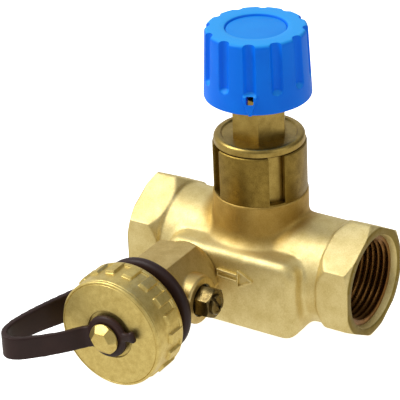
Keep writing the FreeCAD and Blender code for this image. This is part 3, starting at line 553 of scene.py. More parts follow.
@dataclass
class Casting:
    """The cast body: run, middle block, neck and port hexagons."""

    pipe_radius: float = 15.6
    end_low: float = -1.5
    end_high: float = 74.5
    hex_flats: float = 32.0
    hex_length: float = 10.7
    block: Triple = (45.0, 34.0, 25.1)
    block_front: float = -20.0
    block_corner: float = 5.2
    block_edge: float = 2.8
    block_top: float = 9.5
    foot_radius: float = 18.2
    neck_radius: float = 14.2
    neck_top: float = 22.4
    thread_radius: float = 12.06
    thread_depth: float = 1.16
    thread_length: float = 15.0
    sleeve_radius: float = 13.5
    mouth_radius: float = 14.3
    mouth_depth: float = 2.3
    voxel: float = 0.42
    seat_bore: float = 8.0
    seat_at: float = 1.8
    chamber: float = 11.98
    passage_radius: float = 6.0
    run_start: float = 0.5
    run_length: float = 72.0
    spigot_hole: float = 7.9
    bevel: float = 2.0
    bevel_depth: float = 1.25

    def ends(self) -> Sequence[Pair]:
        """Where both ports' end faces are along the run, each with its sign towards the middle."""
        return (self.end_low, 1.0), (self.end_high, -1.0)

    def hexagon(self, end: float, inwards: float) -> Shape:
        """One port's hexagon with a corner up and its corners turned off at both ends.

        Args:
            end: Where its end face is along the run.
            inwards: Plus or minus one, towards the valve's middle.

        Returns:
            The solid hexagon.
        """
        corner, high, spare = self.hex_flats / math.sqrt(3), self.hex_length, 1.0
        bar = Shape().prism(6, self.hex_flats, -spare, high)
        form = Shape().lathe([(0, -spare), (corner + 0.5, -spare), (corner + 0.5, high - 3.2),
                              (corner, high - 2.9), (corner - 2.1, high), (0, high)], 96)
        bar.cut(form, "INTERSECT")
        return bar.move(port(end, inwards))

    def facing(self, end: float, inwards: float) -> Shape:
        """What the lathe takes off a port's end: all that lies before its face and its bevel."""
        corner, away, slack = self.hex_flats / math.sqrt(3), 3.0, 1.15
        depth = self.bevel_depth + slack * away * self.bevel_depth / self.bevel
        waste = Shape().lathe([(0, -away), (corner + away, -away), (corner + away, depth),
                               (corner - self.bevel, 0), (0, 0)], 128)
        return waste.move(port(end, inwards))

    def outside(self) -> Shape:
        """Run, block, foot, neck and hexagons melted into one cast skin."""
        length, depth, height = self.block
        run = Shape().rod(self.pipe_radius, 0, self.run_length, 128)
        run.move(port(self.run_start, 1.0))
        middle = Shape().slab((length, depth, height), self.block_corner, self.block_edge)
        middle.move(Matrix.Translation((STEM_X, self.block_front + depth / 2, self.block_top - height / 2)))
        top, bottom, foot, wide = self.block_top, self.block_top - height, self.foot_radius, self.neck_radius
        neck = Shape().lathe([(0, bottom), (foot - 2.0, bottom), (foot, bottom + 2.0), (foot, top - 1.0),
                              (16.6, top + 0.2), (15.0, top + 1.8), (wide, top + 3.6),
                              (wide, self.neck_top - 0.8), (wide, self.neck_top), (0, self.neck_top)], 128)
        neck.move(STEM)
        skin = run.add(middle).add(neck)
        for end, inwards in self.ends():
            skin.add(self.hexagon(end, inwards))
        skin.melt(self.voxel, 3)

        def near_block_end(place: Vector) -> bool:
            """True close to the corner between the block's end and the pipe."""
            along = abs(abs(place.x - STEM_X) - length / 2)
            across = math.hypot(place.y, place.z)
            return along < 3.2 and across < self.pipe_radius + 3.0 and place.z < 13.0

        def near_foot(place: Vector) -> bool:
            """True close to the corner at the foot of the neck."""
            across = math.hypot(place.x - STEM_X, place.y)
            return 13.0 < across < 20.5 and 5.0 < place.z < 17.0

        return skin.smooth(26, near_block_end).smooth(16, near_foot)

    def bore(self, end: float, inwards: float) -> Shape:
        """The smooth hole in a port that its thread is set into, with the flared mouth."""
        mouth, wide, last = self.mouth_radius, self.sleeve_radius, self.thread_length + 1.5
        hole = Shape().lathe([(0, -1.0), (mouth + 0.3, -1.0), (mouth, 0.0), (mouth - 0.25, 0.35),
                              (wide, self.mouth_depth), (wide, last), (0, last)], 128)
        return hole.move(port(end, inwards))

    def thread(self, name: str, end: float, inwards: float) -> None:
        """Cuts the thread of one port as a sleeve of its own."""
        low, high, pitch = self.thread_radius, self.thread_radius + self.thread_depth, PIPE_THREAD_PITCH
        first, last = self.mouth_depth - 0.35, self.thread_length + 1.5
        start, flat = -4.0, high - 0.08
        rod = Shape().screw([(low, start), (flat, start + 0.42 * pitch), (flat, start + 0.54 * pitch),
                             (low, start + 0.96 * pitch), (low, start + pitch)], pitch, 13, 96, first - 0.6,
                            last + 0.6)
        wide = self.sleeve_radius
        sleeve = Shape().lathe([(10.0, first), (wide, first), (wide, last), (10.0, last)], 128)
        sleeve.cut(rod)
        sleeve.move(port(end, inwards))
        sleeve.finish(name, "housing", Finish.PORT_BRASS)

    def passage(self, start: Pair, end: Pair) -> Shape:
        """A waterway drilled between two places, given by distance from the stem and height."""
        first, last = Vector((start[0], 0, start[1])), Vector((end[0], 0, end[1]))
        length = (last - first).length
        drill = Shape().rod(self.passage_radius, 0, length, 64)
        turn = (last - first).to_track_quat("Z", "Y").to_matrix().to_4x4()
        return drill.move(STEM @ Matrix.Translation(first) @ turn)

    def build(self) -> None:
        """Makes the casting and the threads of its ports."""
        skin = self.outside()
        for waste in (self.facing, self.bore):
            for end, inwards in self.ends():
                skin.cut(waste(end, inwards))
        for name, (end, inwards) in zip(("port_thread_inlet", "port_thread_outlet"), self.ends()):
            self.thread(name, end, inwards)
        seat, wide, step = self.seat_bore, self.chamber, self.seat_at
        inside = Shape().lathe([(0, -13.0), (seat, -13.0), (seat, step), (wide, step), (wide, 30.0),
                                (0, 30.0)], 96)
        skin.cut(inside.move(STEM))
        skin.cut(self.passage((-22.5, -6.0), (0.0, -7.0)))
        skin.cut(self.passage((22.5, 5.0), (11.0, 8.0)))
        skin.cut(Shape().rod(self.spigot_hole, 13.5, 24.0, 64).move(DRAIN))
        skin.finish("valve_casting", "housing", Finish.CAST_BRASS, ["valve_body"], 60.0)


@dataclass
class Collar:
    """The turned and slotted collar at the top of the casting's neck."""

    outer: float = 13.9
    inner: float = 12.0
    low: float = 21.9
    high: float = 37.8
    slot_low: float = 22.8
    slot_width: float = 4.9
    slot_turn: float = 52.0
    slots: int = 4

    def build(self) -> None:
        """Cuts the slots out of a turned ring and breaks its edges."""
        inner, outer, low, high = self.inner, self.outer, self.low, self.high
        ring = Shape().lathe([(inner, low), (outer, low), (outer, high - 0.3), (outer - 0.3, high),
                              (inner + 0.2, high), (inner, high - 0.2)], 180)
        height = high - self.slot_low + 2.0
        for index in range(self.slots):
            slot = Shape().block((6.0, self.slot_width, height), (outer, 0, self.slot_low + height / 2), 0.0)
            angle = math.radians(self.slot_turn) + index * FULL_TURN / self.slots
            ring.cut(slot.move(Matrix.Rotation(angle, 4, "Z")))
        ring.chamfer(0.18).move(STEM)
        ring.finish("slotted_collar", "housing", Finish.BARE_BRASS)


def arc(centre: Pair, radius: float, start: float, end: float, count: int
        ) -> list[Pair]:
    """Points of a round corner in an outline.

    Args:
        centre: Middle of the rounding as (radius, height).
        radius: Radius of the rounding.
        start: First angle in degrees, from outwards towards upwards.
        end: Last angle in degrees.
        count: Number of steps.

    Returns:
        The points, both ends included.
    """
    angles = [math.radians(angle) for angle in steps_between(start, end, count)]
    return [(centre[0] + radius * math.cos(angle), centre[1] + radius * math.sin(angle)) for angle in angles]


def oval(bore: float, radius: float, place: float, rise: float, power: float, count: int) -> Profile:
    """Section of a moulded ring, between a circle and a square.

    Args:
        bore: The ring's inner radius.
        radius: Its outer radius.
        place: Height of its middle.
        rise: Half its height.
        power: 1 for an ellipse, less for squarer corners.
        count: Number of corners.

    Returns:
        The corners as (radius, height).
    """
    middle, half, section = (radius + bore) / 2, (radius - bore) / 2, []
    for angle in steps_between(0, 360, count)[:-1]:
        across, along = math.cos(math.radians(angle)), math.sin(math.radians(angle))
        section.append((middle + half * math.copysign(abs(across) ** power, across),
                        place + rise * math.copysign(abs(along) ** power, along)))
    return section


def smooth_step(value: float, low: float, high: float) -> float:
    """Rises smoothly from 0 at low to 1 at high; low may be the greater of the two."""
    share = min(max((value - low) / (high - low), 0.0), 1.0)
    return share * share * (3.0 - 2.0 * share)


@dataclass
class Bonnet:
    """Barrel, dished flange and hexagon that close the neck."""

    bottom: float = 15.97
    barrel: float = 11.9
    flange_low: float = 37.8
    flange_high: float = 40.6
    flange_radius: float = 13.5
    rim_round: float = 1.35
    dish_radius: float = 11.3
    hex_flats: float = 15.0
    top: float = 53.6
    stem_bore: float = 4.05
    gland_bore: float = 6.05

    def build(self) -> None:
        """Makes the turned part with its bores and seal groove, and the hexagon above it."""
        barrel, flange, low, high = self.barrel, self.flange_radius, self.flange_low, self.flange_high
        rim = arc((flange - self.rim_round, high - self.rim_round), self.rim_round, 0, 90, 8)
        stem, gland, dish = self.stem_bore, self.gland_bore, self.dish_radius
        turned = Shape().lathe([
            (gland, self.bottom), (barrel, self.bottom), (barrel, 17.97), (10.4, 17.97), (10.4, 19.57),
            (barrel, 19.57), (barrel, low), (flange - 0.4, low), (flange, low + 0.4), *rim,
            (dish + 0.1, high), (dish - 0.35, high - 0.45), (stem, high - 0.45), (stem, 33.52),
            (gland, 33.52)], 160)
        corner, top = self.hex_flats / math.sqrt(3), self.top
        bar = Shape().prism(6, self.hex_flats, 39.6, top)
        bar.cut(Shape().lathe([(0, 39.0), (corner + 1, 39.0), (corner + 1, top - 1.2), (corner - 1.0, top),
                               (0, top)], 96), "INTERSECT")
        hole = Shape().lathe([(0, 38.0), (stem, 38.0), (stem, 50.1), (5.6, 50.1), (5.6, 55.0),
                              (0, 55.0)], 64)
        bar.cut(hole)
        bar.chamfer(0.25)
        turned.add(bar).move(STEM).finish("bonnet_turned", "housing", Finish.MACHINED_BRASS, ["bonnet"])


@dataclass
class Knob:
    """The fluted plastic handwheel with its pointer, its peep hole and the disc in its top."""

    base: float = 52.7
    height: float = 21.0
    base_radius: float = 15.8
    top_radius: float = 14.85
    edge: float = 0.95
    hollow: float = 12.4
    hollow_depth: float = 12.0
    recess: float = 8.9
    floor: float = 70.1
    flutes: int = 12
    turn: float = -7.0
    flute_radius: float = 1.7
    flute_depth: float = 1.5
    flute_low: float = 5.3
    flute_full: float = 6.9
    pointer: float = -67.0
    pointer_rise: float = 0.7
    peep_slope: float = 27.0
    peep_size: Triple = (9.0, 2.2, 2.4)
    peep_height: float = 4.7

    def wall(self, up: float) -> float:
        """The plain wall's radius at a height over the base."""
        return self.base_radius + (self.top_radius - self.base_radius) * up / self.height

    def skin(self, place: Vector) -> Vector:
        """Presses the flutes into the outer wall and raises the pointer under the peep hole."""
        radius = math.hypot(place.x, place.y)
        if radius < self.hollow + 0.4:
            return place
        up = place.z - self.base
        angle = math.degrees(math.atan2(place.y, place.x))
        pitch = 360.0 / self.flutes
        aside = math.radians((angle - self.turn + pitch / 2) % pitch - pitch / 2)
        wall = self.wall(up)
        depth = self.flute_depth * smooth_step(up, self.flute_low, self.flute_full)
        centre = wall - depth + self.flute_radius
        sideways = centre * math.sin(aside)
        radius_new = radius
        if abs(sideways) < self.flute_radius and depth > 0.02:
            reach = centre * math.cos(aside) - math.sqrt(self.flute_radius ** 2 - sideways ** 2)
            radius_new = soft_least(radius, reach, 0.25)
        from_pointer = abs(math.radians(angle - self.pointer)) * radius
        half = 0.35 + 1.6 * min(up / 5.2, 1.0)
        if up < 6.6:
            raised = smooth_step(from_pointer, half + 0.22, half) * smooth_step(up, 6.4, 5.6)
            radius_new += self.pointer_rise * raised
        return Vector((place.x * radius_new / radius, place.y * radius_new / radius, place.z))

    def build(self) -> None:
        """Turns the wall, presses it, opens the peep hole and adds the disc."""
        top = self.base + self.height
        outer = [(self.wall(up), self.base + up) for up in steps_between(0.5, self.height - self.edge, 52)]
        round_top = arc((self.top_radius - self.edge, top - self.edge), self.edge, 0, 90, 9)[1:]
        ceiling = self.base + self.hollow_depth
        hollow, base, rim = self.hollow, self.base, self.base_radius
        profile = [(6.4, ceiling), (hollow - 0.8, ceiling), (hollow, ceiling - 0.8), (hollow, base + 0.3),
                   (hollow + 0.3, base), (rim - 0.45, base), (rim - 0.12, base + 0.15),
                   *outer, *round_top, (12.2, top), (11.0, top),
                   (9.6, top), (9.2, top - 0.12), (9.0, top - 0.4), (self.recess, top - 0.8),
                   (self.recess, self.floor), (6.4, self.floor)]
        wheel = Shape().lathe(profile, 384).press(self.skin)
        hole = Shape().block(self.peep_size, (-0.8, 0, 0), 0.35, 3)
        hole.move(Matrix.Rotation(-math.radians(self.peep_slope), 4, "Y"))
        hole.move(Matrix.Translation((self.base_radius, 0, self.base + self.peep_height)))
        hole.move(Matrix.Rotation(math.radians(self.pointer), 4, "Z"))
        wheel.cut(hole)
        wheel.move(STEM).finish("knob_fluted", "stem", Finish.KNOB_PLASTIC, ["knob"], 34.0)
        disc_top, wide = top - 0.6, self.recess - 0.03
        disc = Shape().lathe([(0, disc_top - 1.4), (wide, disc_top - 1.4), (wide, disc_top - 0.35),
                              *arc((self.recess - 0.33, disc_top - 0.3), 0.3, 0, 90, 4),
                              (6.0, disc_top - 0.02), (0, disc_top - 0.1)], 160)
        disc.move(STEM).finish("knob_cover", "stem", Finish.DISC_PLASTIC, ["knob_disc"])


@dataclass
class DrainCock:
    """The drain's hexagon, side boss, flange and hose thread."""

    start: float = 20.8
    rim_start: float = 20.04
    rim_bore: float = 9.36
    shoulder_radius: float = 10.0
    hex_at: float = 23.0
    hex_turn: float = 5.0
    hex_flats: float = 22.0
    hex_chamfer: float = 0.6
    flange_at: float = 39.8
    flange_radius: float = 13.2
    neck_at: float = 41.0
    neck_radius: float = 11.2
    thread_at: float = 45.6
    thread_end: float = 57.6
    thread_radius: float = 13.2
    thread_root: float = 12.1
    boss_radius: float = 7.3
    boss_reach: float = 12.77
    hose_bore: float = 8.6
    screw_bore: float = 4.95
    clip_groove: float = 5.35
    voxel: float = 0.26

    def hexagon(self) -> Shape:
        """The hexagon, with its corners turned off at the end towards the block."""
        flats, low, high = self.hex_flats, self.hex_at, self.flange_at + 0.4
        corner = flats / math.sqrt(3)
        bar = Shape().prism(6, flats, low, high, self.hex_turn)
        form = Shape().lathe([(0, low), (flats / 2, low), (corner, low + self.hex_chamfer), (corner, high),
                              (0, high)], 96)
        return bar.cut(form, "INTERSECT")

    def build(self) -> None:
        """Melts the forged forms together, bores them and adds the cut thread."""
        shoulder, shoulder_end = self.shoulder_radius, self.hex_at + 0.4
        body = Shape().lathe([(0, 14.0), (8.0, 14.0), (8.0, self.start), (self.rim_bore, self.start),
                              (self.rim_bore, self.rim_start), (shoulder, self.rim_start),
                              (shoulder, shoulder_end), (0, shoulder_end)], 96)
        body.add(self.hexagon())
        wide, low, high, neck_end = self.flange_radius, self.flange_at, self.neck_at, self.thread_at + 0.5
        body.add(Shape().lathe([(0, low), (wide - 0.3, low), (wide, low + 0.3), (wide, high - 0.3),
                                (wide - 0.3, high), (self.neck_radius, high), (self.neck_radius, neck_end),
                                (0, neck_end)], 128))
        wide, reach = self.boss_radius, self.boss_reach
        boss = Shape().lathe([(0, 0), (wide, 0), (wide, reach - 0.5), (wide - 0.5, reach), (0, reach)], 96)
        across = Matrix.Translation((0, 0, -SIDE_BOSS_Y)) @ Matrix.Rotation(math.pi / 2, 4, "Y")
        body.add(boss.move(across))
        body.melt(self.voxel, 2)
        tight, clip = self.screw_bore, self.clip_groove
        bore = Shape().lathe([(0, 2.0), (tight, 2.0), (tight, 11.4), (clip, 11.4), (clip, 12.2), (5.0, 12.2),
                              (5.0, 13.5), (0, 13.5)], 72)
        body.cut(bore.move(across))
        body.cut(Shape().rod(self.hose_bore, 43.6, 50.0, 72))
        body.move(DRAIN).finish("drain_cock_forging", "housing", Finish.BAR_BRASS, ["drain_cock_body"])
        pitch, root, crest, start = PIPE_THREAD_PITCH, self.thread_root, self.thread_radius, 43.2
        flank, low, high = crest - 0.06, self.thread_at, self.thread_end
        rod = Shape().screw([(root, start), (flank, start + 0.4 * pitch), (crest, start + 0.46 * pitch),
                             (flank, start + 0.52 * pitch), (root, start + 0.92 * pitch),
                             (root, start + pitch)], pitch, 9, 72, low, high)
        form = Shape().lathe([(self.hose_bore, low), (11.9, low), (13.3, low + 1.3), (13.3, high - 1.3),
                              (11.9, high), (self.hose_bore, high)], 96)
        rod.cut(form, "INTERSECT")
        rod.move(DRAIN).finish("drain_hose_thread", "housing", Finish.MACHINED_BRASS)


@dataclass
class Cap:
    """The ribbed cap and the rivet that holds the strap's eyelet on it."""

    low: float = 49.62
    high: float = 61.82
    radius: float = 16.47
    bore: float = 13.27
    ceiling: float = 59.62
    lip: float = 0.5
    lip_length: float = 1.4
    ribs: int = 18
    rib_rise: float = 0.8
    rib_width: float = 3.0
    rib_end: float = 6.6
    well_radius: float = 7.3
    well_depth: float = 0.5
    shank: float = 3.2
    head_radius: float = 4.6
    head_low: float = 64.32
    head_high: float = 66.92

    def skin(self, place: Vector) -> Vector:
        """Raises the ribs round the cap's side."""
        radius = math.hypot(place.x, place.y)
        if radius < self.radius - 0.3:
            return place
        up = place.z - self.low
        pitch = 360.0 / self.ribs
        angle = math.degrees(math.atan2(place.y, place.x))
        aside = abs(math.radians((angle + pitch / 2) % pitch - pitch / 2)) * self.radius
        half = self.rib_width / 2
        rib = smooth_step(aside, half + 0.16, half - 0.12)
        rib *= smooth_step(up, self.rib_end + 0.1, self.rib_end - 0.35)
        rib *= smooth_step(up, 0.3, 0.75)
        height = self.radius + self.rib_rise * rib
        grown = max(radius, height if 0.3 < up < self.rib_end + 0.4 else radius)
        return Vector((place.x * grown / radius, place.y * grown / radius, place.z))

    def build(self) -> None:
        """Turns the cap, raises its ribs and adds the rivet."""
        wide, low, front, well = self.radius, self.low, self.high, self.well_radius
        lip, lip_top, floor = wide + self.lip, low + self.lip_length, self.high - self.well_depth
        side = [(wide, low + up) for up in steps_between(self.lip_length + 0.3, self.rib_end + 0.6, 26)]
        profile = [(self.bore, low + 0.4), (self.bore + 0.4, low), (lip - 0.35, low),
                   (lip - 0.1, low + 0.1), (lip, low + 0.35), (lip, lip_top - 0.35),
                   (lip - 0.1, lip_top - 0.1), (lip - 0.35, lip_top), *side, (wide, front - 1.25),
                   (wide - 0.12, front - 1.12), (wide - 0.02, front - 0.98),
                   *arc((wide - 0.62, front - 0.6), 0.6, 0, 80, 8), (wide - 0.66, front - 0.02),
                   (wide - 0.82, front - 0.2), (wide - 0.98, front - 0.02), (well + 0.15, front - 0.02),
                   (well, front - 0.15), (well, floor), (self.shank, floor), (self.shank, self.ceiling),
                   (self.bore, self.ceiling)]
        shell = Shape().lathe(profile, 540).press(self.skin)
        shell.move(DRAIN).finish("cap_ribbed", "cap", Finish.CAP_BRASS, ["drain_cap"], 32.0)
        self.rivet()

    def rivet(self) -> None:
        """The rivet: a shank and a round head cut to six facets round a small flat."""
        wide, low, high, depth = self.head_radius, self.head_low, self.head_high, 3.0
        head = Shape().lathe([(0, low), (4.3, low), (wide, 64.6), (wide, high), (0, high)], 120)
        facets = Shape()
        place = Matrix.Translation((0, 0, high - depth / 2)) @ Matrix.Rotation(math.pi / 6, 4, "Z")
        bmesh.ops.create_cone(facets.bm, cap_ends=True, segments=6, radius1=6.3, radius2=2.95, depth=depth,
                              matrix=place)
        head.cut(facets.clean(), "INTERSECT")
        head.chamfer(0.14)
        shank = Shape().rod(self.shank, self.ceiling, 64.5, 72)
        shank.add(head).move(DRAIN).finish("cap_rivet", "cap", Finish.CAP_BRASS, ["cap_stud"], 25.0)


@dataclass
class DrainScrew:
    """The screw in the side boss: hexagon and slotted end."""

    flats: float = 8.4
    thread_radius: float = 4.86
    thread_end: float = 8.37
    hex_end: float = 17.4
    nub_radius: float = 3.1
    slot_turn: float = 35.0
    end: float = 18.3

    def build(self) -> None:
        """Makes the hidden turned part, the hexagon and the slotted end."""
        wide, top, groove = self.thread_radius, self.thread_end, 3.95
        turned = Shape().lathe([(0, 3.57), (1.4, 3.57), (1.4, 5.17), (wide, 5.17), (wide, 6.17),
                                (groove, 6.17), (groove, 7.17), (wide, 7.17), (wide, top), (0, top)], 72)
        corner = self.flats / math.sqrt(3)
        high = self.hex_end
        bar = Shape().prism(6, self.flats, top - 0.2, high)
        form = Shape().lathe([(0, top - 0.5), (corner + 0.5, top - 0.5), (corner + 0.5, high - 1.0),
                              (corner - 0.75, high), (0, high)], 72)
        bar.cut(form, "INTERSECT")
        wide, end = self.nub_radius, self.end
        nub = Shape().lathe([(0, high - 0.3), (wide, high - 0.3), (wide, end - 0.25), (wide - 0.25, end),
                             (wide - 0.8, end), (wide - 1.0, end - 0.3), (0, end - 0.3)], 64)
        bar.cut(nub, "UNION")
        slot = Shape().block((2.4 * self.nub_radius, 1.0, 3.2), (0, 0, self.end + 0.2), 0.0)
        bar.cut(slot.move(Matrix.Rotation(math.radians(self.slot_turn), 4, "Z")))
        bar.chamfer(0.1)
        turned.add(bar).move(SIDE_BOSS)
        turned.finish("drain_screw_slotted", "drain_spindle", Finish.SCREW_BRASS, ["drain_screw"], 30.0)


class Route:
    """A smooth line through the air that a strap follows, with its places by length."""

    def __init__(self, corners: Sequence[Triple], rounds: int = 4) -> None:
        """Rounds a chain of corners off by cutting each of them again and again.

        Args:
            corners: Places that the line starts at, passes near, and ends at.
            rounds: How often the corners are cut.
        """
        line = [Vector(corner) for corner in corners]
        for _ in range(rounds):
            cut = [line[0]]
            for before, after in zip(line, line[1:]):
                cut += [before.lerp(after, 0.25), before.lerp(after, 0.75)]
            line = cut + [line[-1]]
        self.line = line
        self.lengths = [0.0]
        for before, after in zip(line, line[1:]):
            self.lengths.append(self.lengths[-1] + (after - before).length)

    def at(self, share: float) -> tuple[Vector, Vector]:
        """The place and the heading at a share of the line's length, carried on past its ends."""
        goal = min(max(share, 0.0), 1.0) * self.lengths[-1]
        index = 0
        while index < len(self.line) - 2 and self.lengths[index + 1] < goal:
            index += 1
        before, after = self.line[index], self.line[index + 1]
        heading = (after - before).normalized()
        return before + heading * (goal - self.lengths[index]), heading


@dataclass
class Strap:
    """The moulded rubber strap: a ring behind the hose thread, a flat loop and an eyelet."""

    ring_place: float = 43.3
    ring_bore: float = 11.5
    ring_radius: float = 15.2
    thickness: float = 1.8
    width_ring: float = 9.2
    width_loop: float = 7.4
    width_eyelet: float = 6.3
    eyelet_place: float = 62.87
    eyelet_radius: float = 6.5
    eyelet_bore: float = 3.45
    lean: float = 14.0
    voxel: float = 0.27

    def route(self) -> Route:
        """The middle line of the loop in the drain's frame: across, upwards and along."""
        return Route([(-13.4, 0.0, 43.4), (-15.2, 0.0, 45.4), (-17.6, 0.0, 48.6), (-19.2, -0.1, 53.0),
                      (-22.2, -0.5, 59.6), (-24.6, -0.9, 65.4), (-26.2, -1.2, 71.0), (-26.3, -1.4, 76.2),
                      (-24.2, -1.6, 79.2), (-20.9, -1.8, 78.9), (-17.2, -1.9, 75.4), (-13.6, -2.0, 71.6),
                      (-10.5, -2.1, 67.8), (-8.3, -2.05, 64.2), (-6.2, -1.6, 62.9), (-3.2, -0.8, 62.87)])

    def width(self, share: float) -> float:
        """The strap's width at a share of its length."""
        if share < 0.5:
            return self.width_ring + (self.width_loop - self.width_ring) * smooth_step(share, 0.1, 0.5)
        return self.width_loop + (self.width_eyelet - self.width_loop) * smooth_step(share, 0.5, 0.85)

    def band(self) -> Shape:
        """The flat loop, as a finely divided bar that is laid along the route."""
        route = self.route()
        bar = Shape().block((1.0, 1.0, 1.0), (0.5, 0.0, 0.0), 0.0)
        along = [edge for edge in bar.bm.edges if abs(edge.verts[0].co.x - edge.verts[1].co.x) > 0.5]
        bmesh.ops.subdivide_edges(bar.bm, edges=along, cuts=180, use_grid_fill=True)
        lean = math.radians(self.lean)

        def lay(place: Vector) -> Vector:
            """Puts one corner of the bar's section where the route has it."""
            middle, heading = route.at(place.x)
            tilt = lean * smooth_step(place.x, 0.6, 0.95)
            up = Vector((-math.sin(tilt), math.cos(tilt), 0.0))
            up = (up - heading * up.dot(heading)).normalized()
            out = heading.cross(up).normalized()
            return middle + up * (place.y * self.width(place.x)) + out * (place.z * self.thickness)

        return bar.press(lay).clean()

    def eyelet(self) -> Shape:
        """The eyelet with its short tail."""
        edge, height = self.eyelet_radius, self.eyelet_place + 0.35
        ring = Shape().lathe(oval(self.eyelet_bore, edge, self.eyelet_place, 1.15, 0.8, 24), 96)
        tail = Shape().block((4.6, 2.6, 1.8), (edge + 0.6, 0, height), 0.6, 3)
        knuckle = Shape().block((1.9, 3.5, 2.1), (edge + 2.4, 0, height), 0.75, 3)
        turn = Matrix.Rotation(math.radians(self.lean), 4, "Z")
        return ring.add(tail.add(knuckle).move(turn))

    def build(self) -> None:
        """Makes the ring, and the loop, which rides on no body."""
        ring = Shape().lathe(oval(self.ring_bore, self.ring_radius, self.ring_place, 1.75, 0.88, 28), 160)
        ring.move(DRAIN).finish("strap_loose_ring", "housing", Finish.STRAP_RUBBER, ["strap_ring"])
        loop = self.band().add(self.eyelet()).melt(self.voxel, 5).move(DRAIN)
        piece = loop.finish("strap_loop", None, Finish.STRAP_RUBBER, ["strap_band", "strap_eyelet"], 60.0)
        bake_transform(piece)


@dataclass
class FlowArrow:
    """The raised outline of an arrow on the casting's front face."""

    face: float = -20.0
    rise: float = 0.75
    broad: float = 0.95
    narrow: float = 0.5
    shaft: tuple[tuple[Pair, Pair], ...] = (((-2.95, 3.2), (3.2, 2.85)), ((-3.05, 1.2), (2.95, 0.85)))
    tail: tuple[Pair, Pair] = ((-3.2, 3.5), (-3.3, 0.9))
    head: tuple[Pair, ...] = ((3.75, 4.5), (8.3, 2.0), (3.45, -0.9))

    def bar(self, start: Pair, end: Pair, stroke: float) -> Shape:
        """One rounded bar from place to place on the face, by the distance from the stem and the height."""
        run = Vector((end[0] - start[0], end[1] - start[1]))
        middle = ((start[0] + end[0]) / 2, (start[1] + end[1]) / 2)
        bar = Shape().block((run.length + stroke, 1.2, stroke), (0, 0, 0), 0.18, 3)
        bar.move(Matrix.Rotation(-math.atan2(run.y, run.x), 4, "Y"))
        return bar.move(Matrix.Translation((STEM_X + middle[0], self.face + 0.6 - self.rise, middle[1])))

    def build(self) -> None:
        """Lays the shaft's two broad bars, the thin one across its tail and the three round the head."""
        bars = Shape()
        for start, end in self.shaft:
            bars.add(self.bar(start, end, self.broad))
        bars.add(self.bar(*self.tail, self.narrow))
        for start, end in zip(self.head, self.head[1:] + self.head[:1]):
            bars.add(self.bar(start, end, self.narrow))
        bars.melt(0.11, 3).finish("flow_arrow", "housing", Finish.CAST_BRASS)


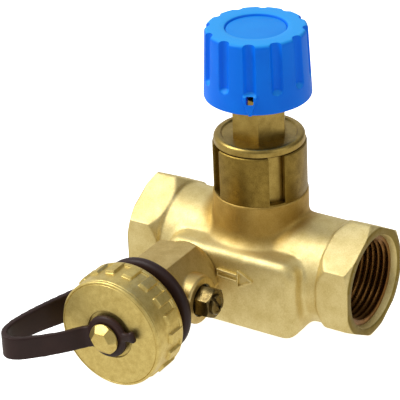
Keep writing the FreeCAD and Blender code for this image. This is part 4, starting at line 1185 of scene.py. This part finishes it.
@dataclass
class Studio:
    """Floor, lamps, surroundings and the camera fitted to the photograph."""

    azimuth: float = 33.51
    elevation: float = 27.44
    roll: float = -2.58
    distance: float = 689.43
    aside: float = 18.89
    upward: float = -15.67
    focal_pixels: float = 2298.39
    frame_pixels: float = 400.0
    floor_z: float = -18.6
    floor_glow: float = 0.9
    mirrored_glow: float = 0.95

    def axes(self) -> tuple[Vector, Vector, Vector]:
        """The camera's right, up and back directions."""
        a, e, r = (math.radians(v) for v in (self.azimuth, self.elevation, self.roll))
        right = Vector((math.cos(a), math.sin(a), 0))
        up = Vector((-math.sin(a) * math.sin(e), math.cos(a) * math.sin(e), math.cos(e)))
        back = Vector((math.sin(a) * math.cos(e), -math.cos(a) * math.cos(e), math.sin(e)))
        return (math.cos(r) * right + math.sin(r) * up, -math.sin(r) * right + math.cos(r) * up, back)

    def camera(self) -> None:
        """Sets the camera by the fitted angles, distance and focal length."""
        right, up, back = self.axes()
        data = bpy.data.cameras.new("camera")
        data.lens = self.focal_pixels / self.frame_pixels * data.sensor_width
        data.clip_start, data.clip_end = 0.01, 10.0
        camera = bpy.data.objects.new("camera", data)
        place = Vector((STEM_X, 0, 0)) - self.aside * right - self.upward * up + self.distance * back
        turn = Matrix((right, up, back)).transposed().to_4x4()
        camera.matrix_world = Matrix.Translation(place * MM) @ turn
        bpy.context.scene.collection.objects.link(camera)
        bpy.context.scene.camera = camera

    def lamp(self, name: str, place: Triple, size: float, power: float) -> None:
        """Adds a square area lamp that points at the valve.

        Args:
            name: The lamp's name.
            place: Its distance in metres to the camera's right, up and back from the valve.
            size: Its side in metres.
            power: Its power in watts.
        """
        right, up, back = self.axes()
        target = Vector((STEM_X, -20.0, 20.0)) * MM
        spot = target + place[0] * right + place[1] * up + place[2] * back
        data = bpy.data.lights.new(name, "AREA")
        data.shape, data.size, data.energy = "SQUARE", size, power
        light = bpy.data.objects.new(name, data)
        turn = (spot - target).to_track_quat("Z", "Y").to_matrix().to_4x4()
        light.matrix_world = Matrix.Translation(spot) @ turn
        bpy.context.scene.collection.objects.link(light)

    def floor(self) -> None:
        """A wide plain floor that looks white and keeps the valve's shadow."""
        shape = Shape()
        bmesh.ops.create_grid(shape.bm, x_segments=1, y_segments=1, size=3000.0,
                              matrix=Matrix.Translation((0, 0, self.floor_z)))
        bmesh.ops.scale(shape.bm, vec=(MM, MM, MM), verts=shape.bm.verts)
        floor = bpy.data.objects.new("floor", shape.to_mesh("floor"))
        material = bpy.data.materials.new("white_paper")
        material.use_nodes = True
        tree = material.node_tree
        tree.nodes["Principled BSDF"].inputs["Base Color"].default_value = linear("#f4f4f4")
        tree.nodes["Principled BSDF"].inputs["Roughness"].default_value = 0.9
        path = add_node(tree, "LightPath").outputs
        plain = tree.nodes["Principled BSDF"].outputs[0]
        mirrored = add_node(tree, "Emission", {
            "Color": linear("#fffaf0"), "Strength": self.mirrored_glow}).outputs[0]
        glow = add_node(tree, "Emission", {
            "Color": (1, 1, 1, 1), "Strength": self.floor_glow}).outputs[0]
        both = add_node(tree, "AddShader", {0: plain, 1: glow}).outputs[0]
        unseen = add_node(tree, "MixShader", {0: path["Is Glossy Ray"], 1: plain, 2: mirrored}).outputs[0]
        seen = add_node(tree, "MixShader", {0: path["Is Camera Ray"], 1: unseen, 2: both}).outputs[0]
        tree.links.new(seen, tree.nodes["Material Output"].inputs["Surface"])
        floor.data.materials.append(material)
        bpy.context.scene.collection.objects.link(floor)

    def surroundings(self) -> None:
        """A pale room: white behind the valve and greyer on the side that the metal mirrors."""
        world = bpy.data.worlds.new("studio")
        world.use_nodes = True
        bpy.context.scene.world = world
        tree = world.node_tree
        background = tree.nodes["Background"]
        direction = add_node(tree, "TexCoord").outputs["Generated"]
        right, up, back = self.axes()
        lit = (-0.7 * right + 0.75 * up - 0.1 * back).normalized()
        share = add_node(tree, "VectorMath", {0: direction, 1: lit}, operation="DOT_PRODUCT")
        factor = add_node(tree, "MapRange", {
            "Value": share.outputs["Value"], "From Min": -1.0, "From Max": 1.0}).outputs[0]
        colour = add_node(tree, "ValToRGB", {"Fac": factor},
                          [(0.0, "#3c3a36"), (0.45, "#8a8884"), (0.75, "#e6e5e2")]).outputs["Color"]
        path = add_node(tree, "LightPath").outputs["Is Camera Ray"]
        shown = add_node(tree, "Mix", {0: path, 6: colour, 7: (1, 1, 1, 1)}, data_type="RGBA")
        tree.links.new(shown.outputs[2], background.inputs["Color"])
        background.inputs["Strength"].default_value = 0.9

    def build(self) -> None:
        """Sets up everything that isn't the valve."""
        bpy.context.scene.view_settings.view_transform = "Standard"
        self.camera()
        self.floor()
        self.surroundings()
        self.lamp("key", (-0.75, 0.75, 0.35), 0.55, 7.0)
        self.lamp("fill", (0.7, 0.15, 0.7), 0.6, 1.6)


def dress_nodes() -> None:
    """Gives every carried-over CAD node the finish of its slot."""
    slots = {finish.slot: finish for finish in reversed(Finish)}
    for row in frame["record"]["subparts"]:
        node = frame["nodes"][row["node"]]
        node.data.materials.clear()
        node.data.materials.append(slots[row["material_slot"]].material())
        node.data.shade_smooth()
        node.data.set_sharp_from_angle(angle=math.radians(32))


def main() -> None:
    """Builds the valve piece by piece."""
    logging.basicConfig(level=logging.INFO, format="%(name)s %(message)s")
    Studio().build()
    dress_nodes()
    for kind in (Casting, Collar, FlowArrow, Bonnet, Knob, DrainCock, DrainScrew, Cap, Strap):
        kind().build()
        LOG.info("%s is done", kind.__name__)


if __name__ == "__main__":
    main()
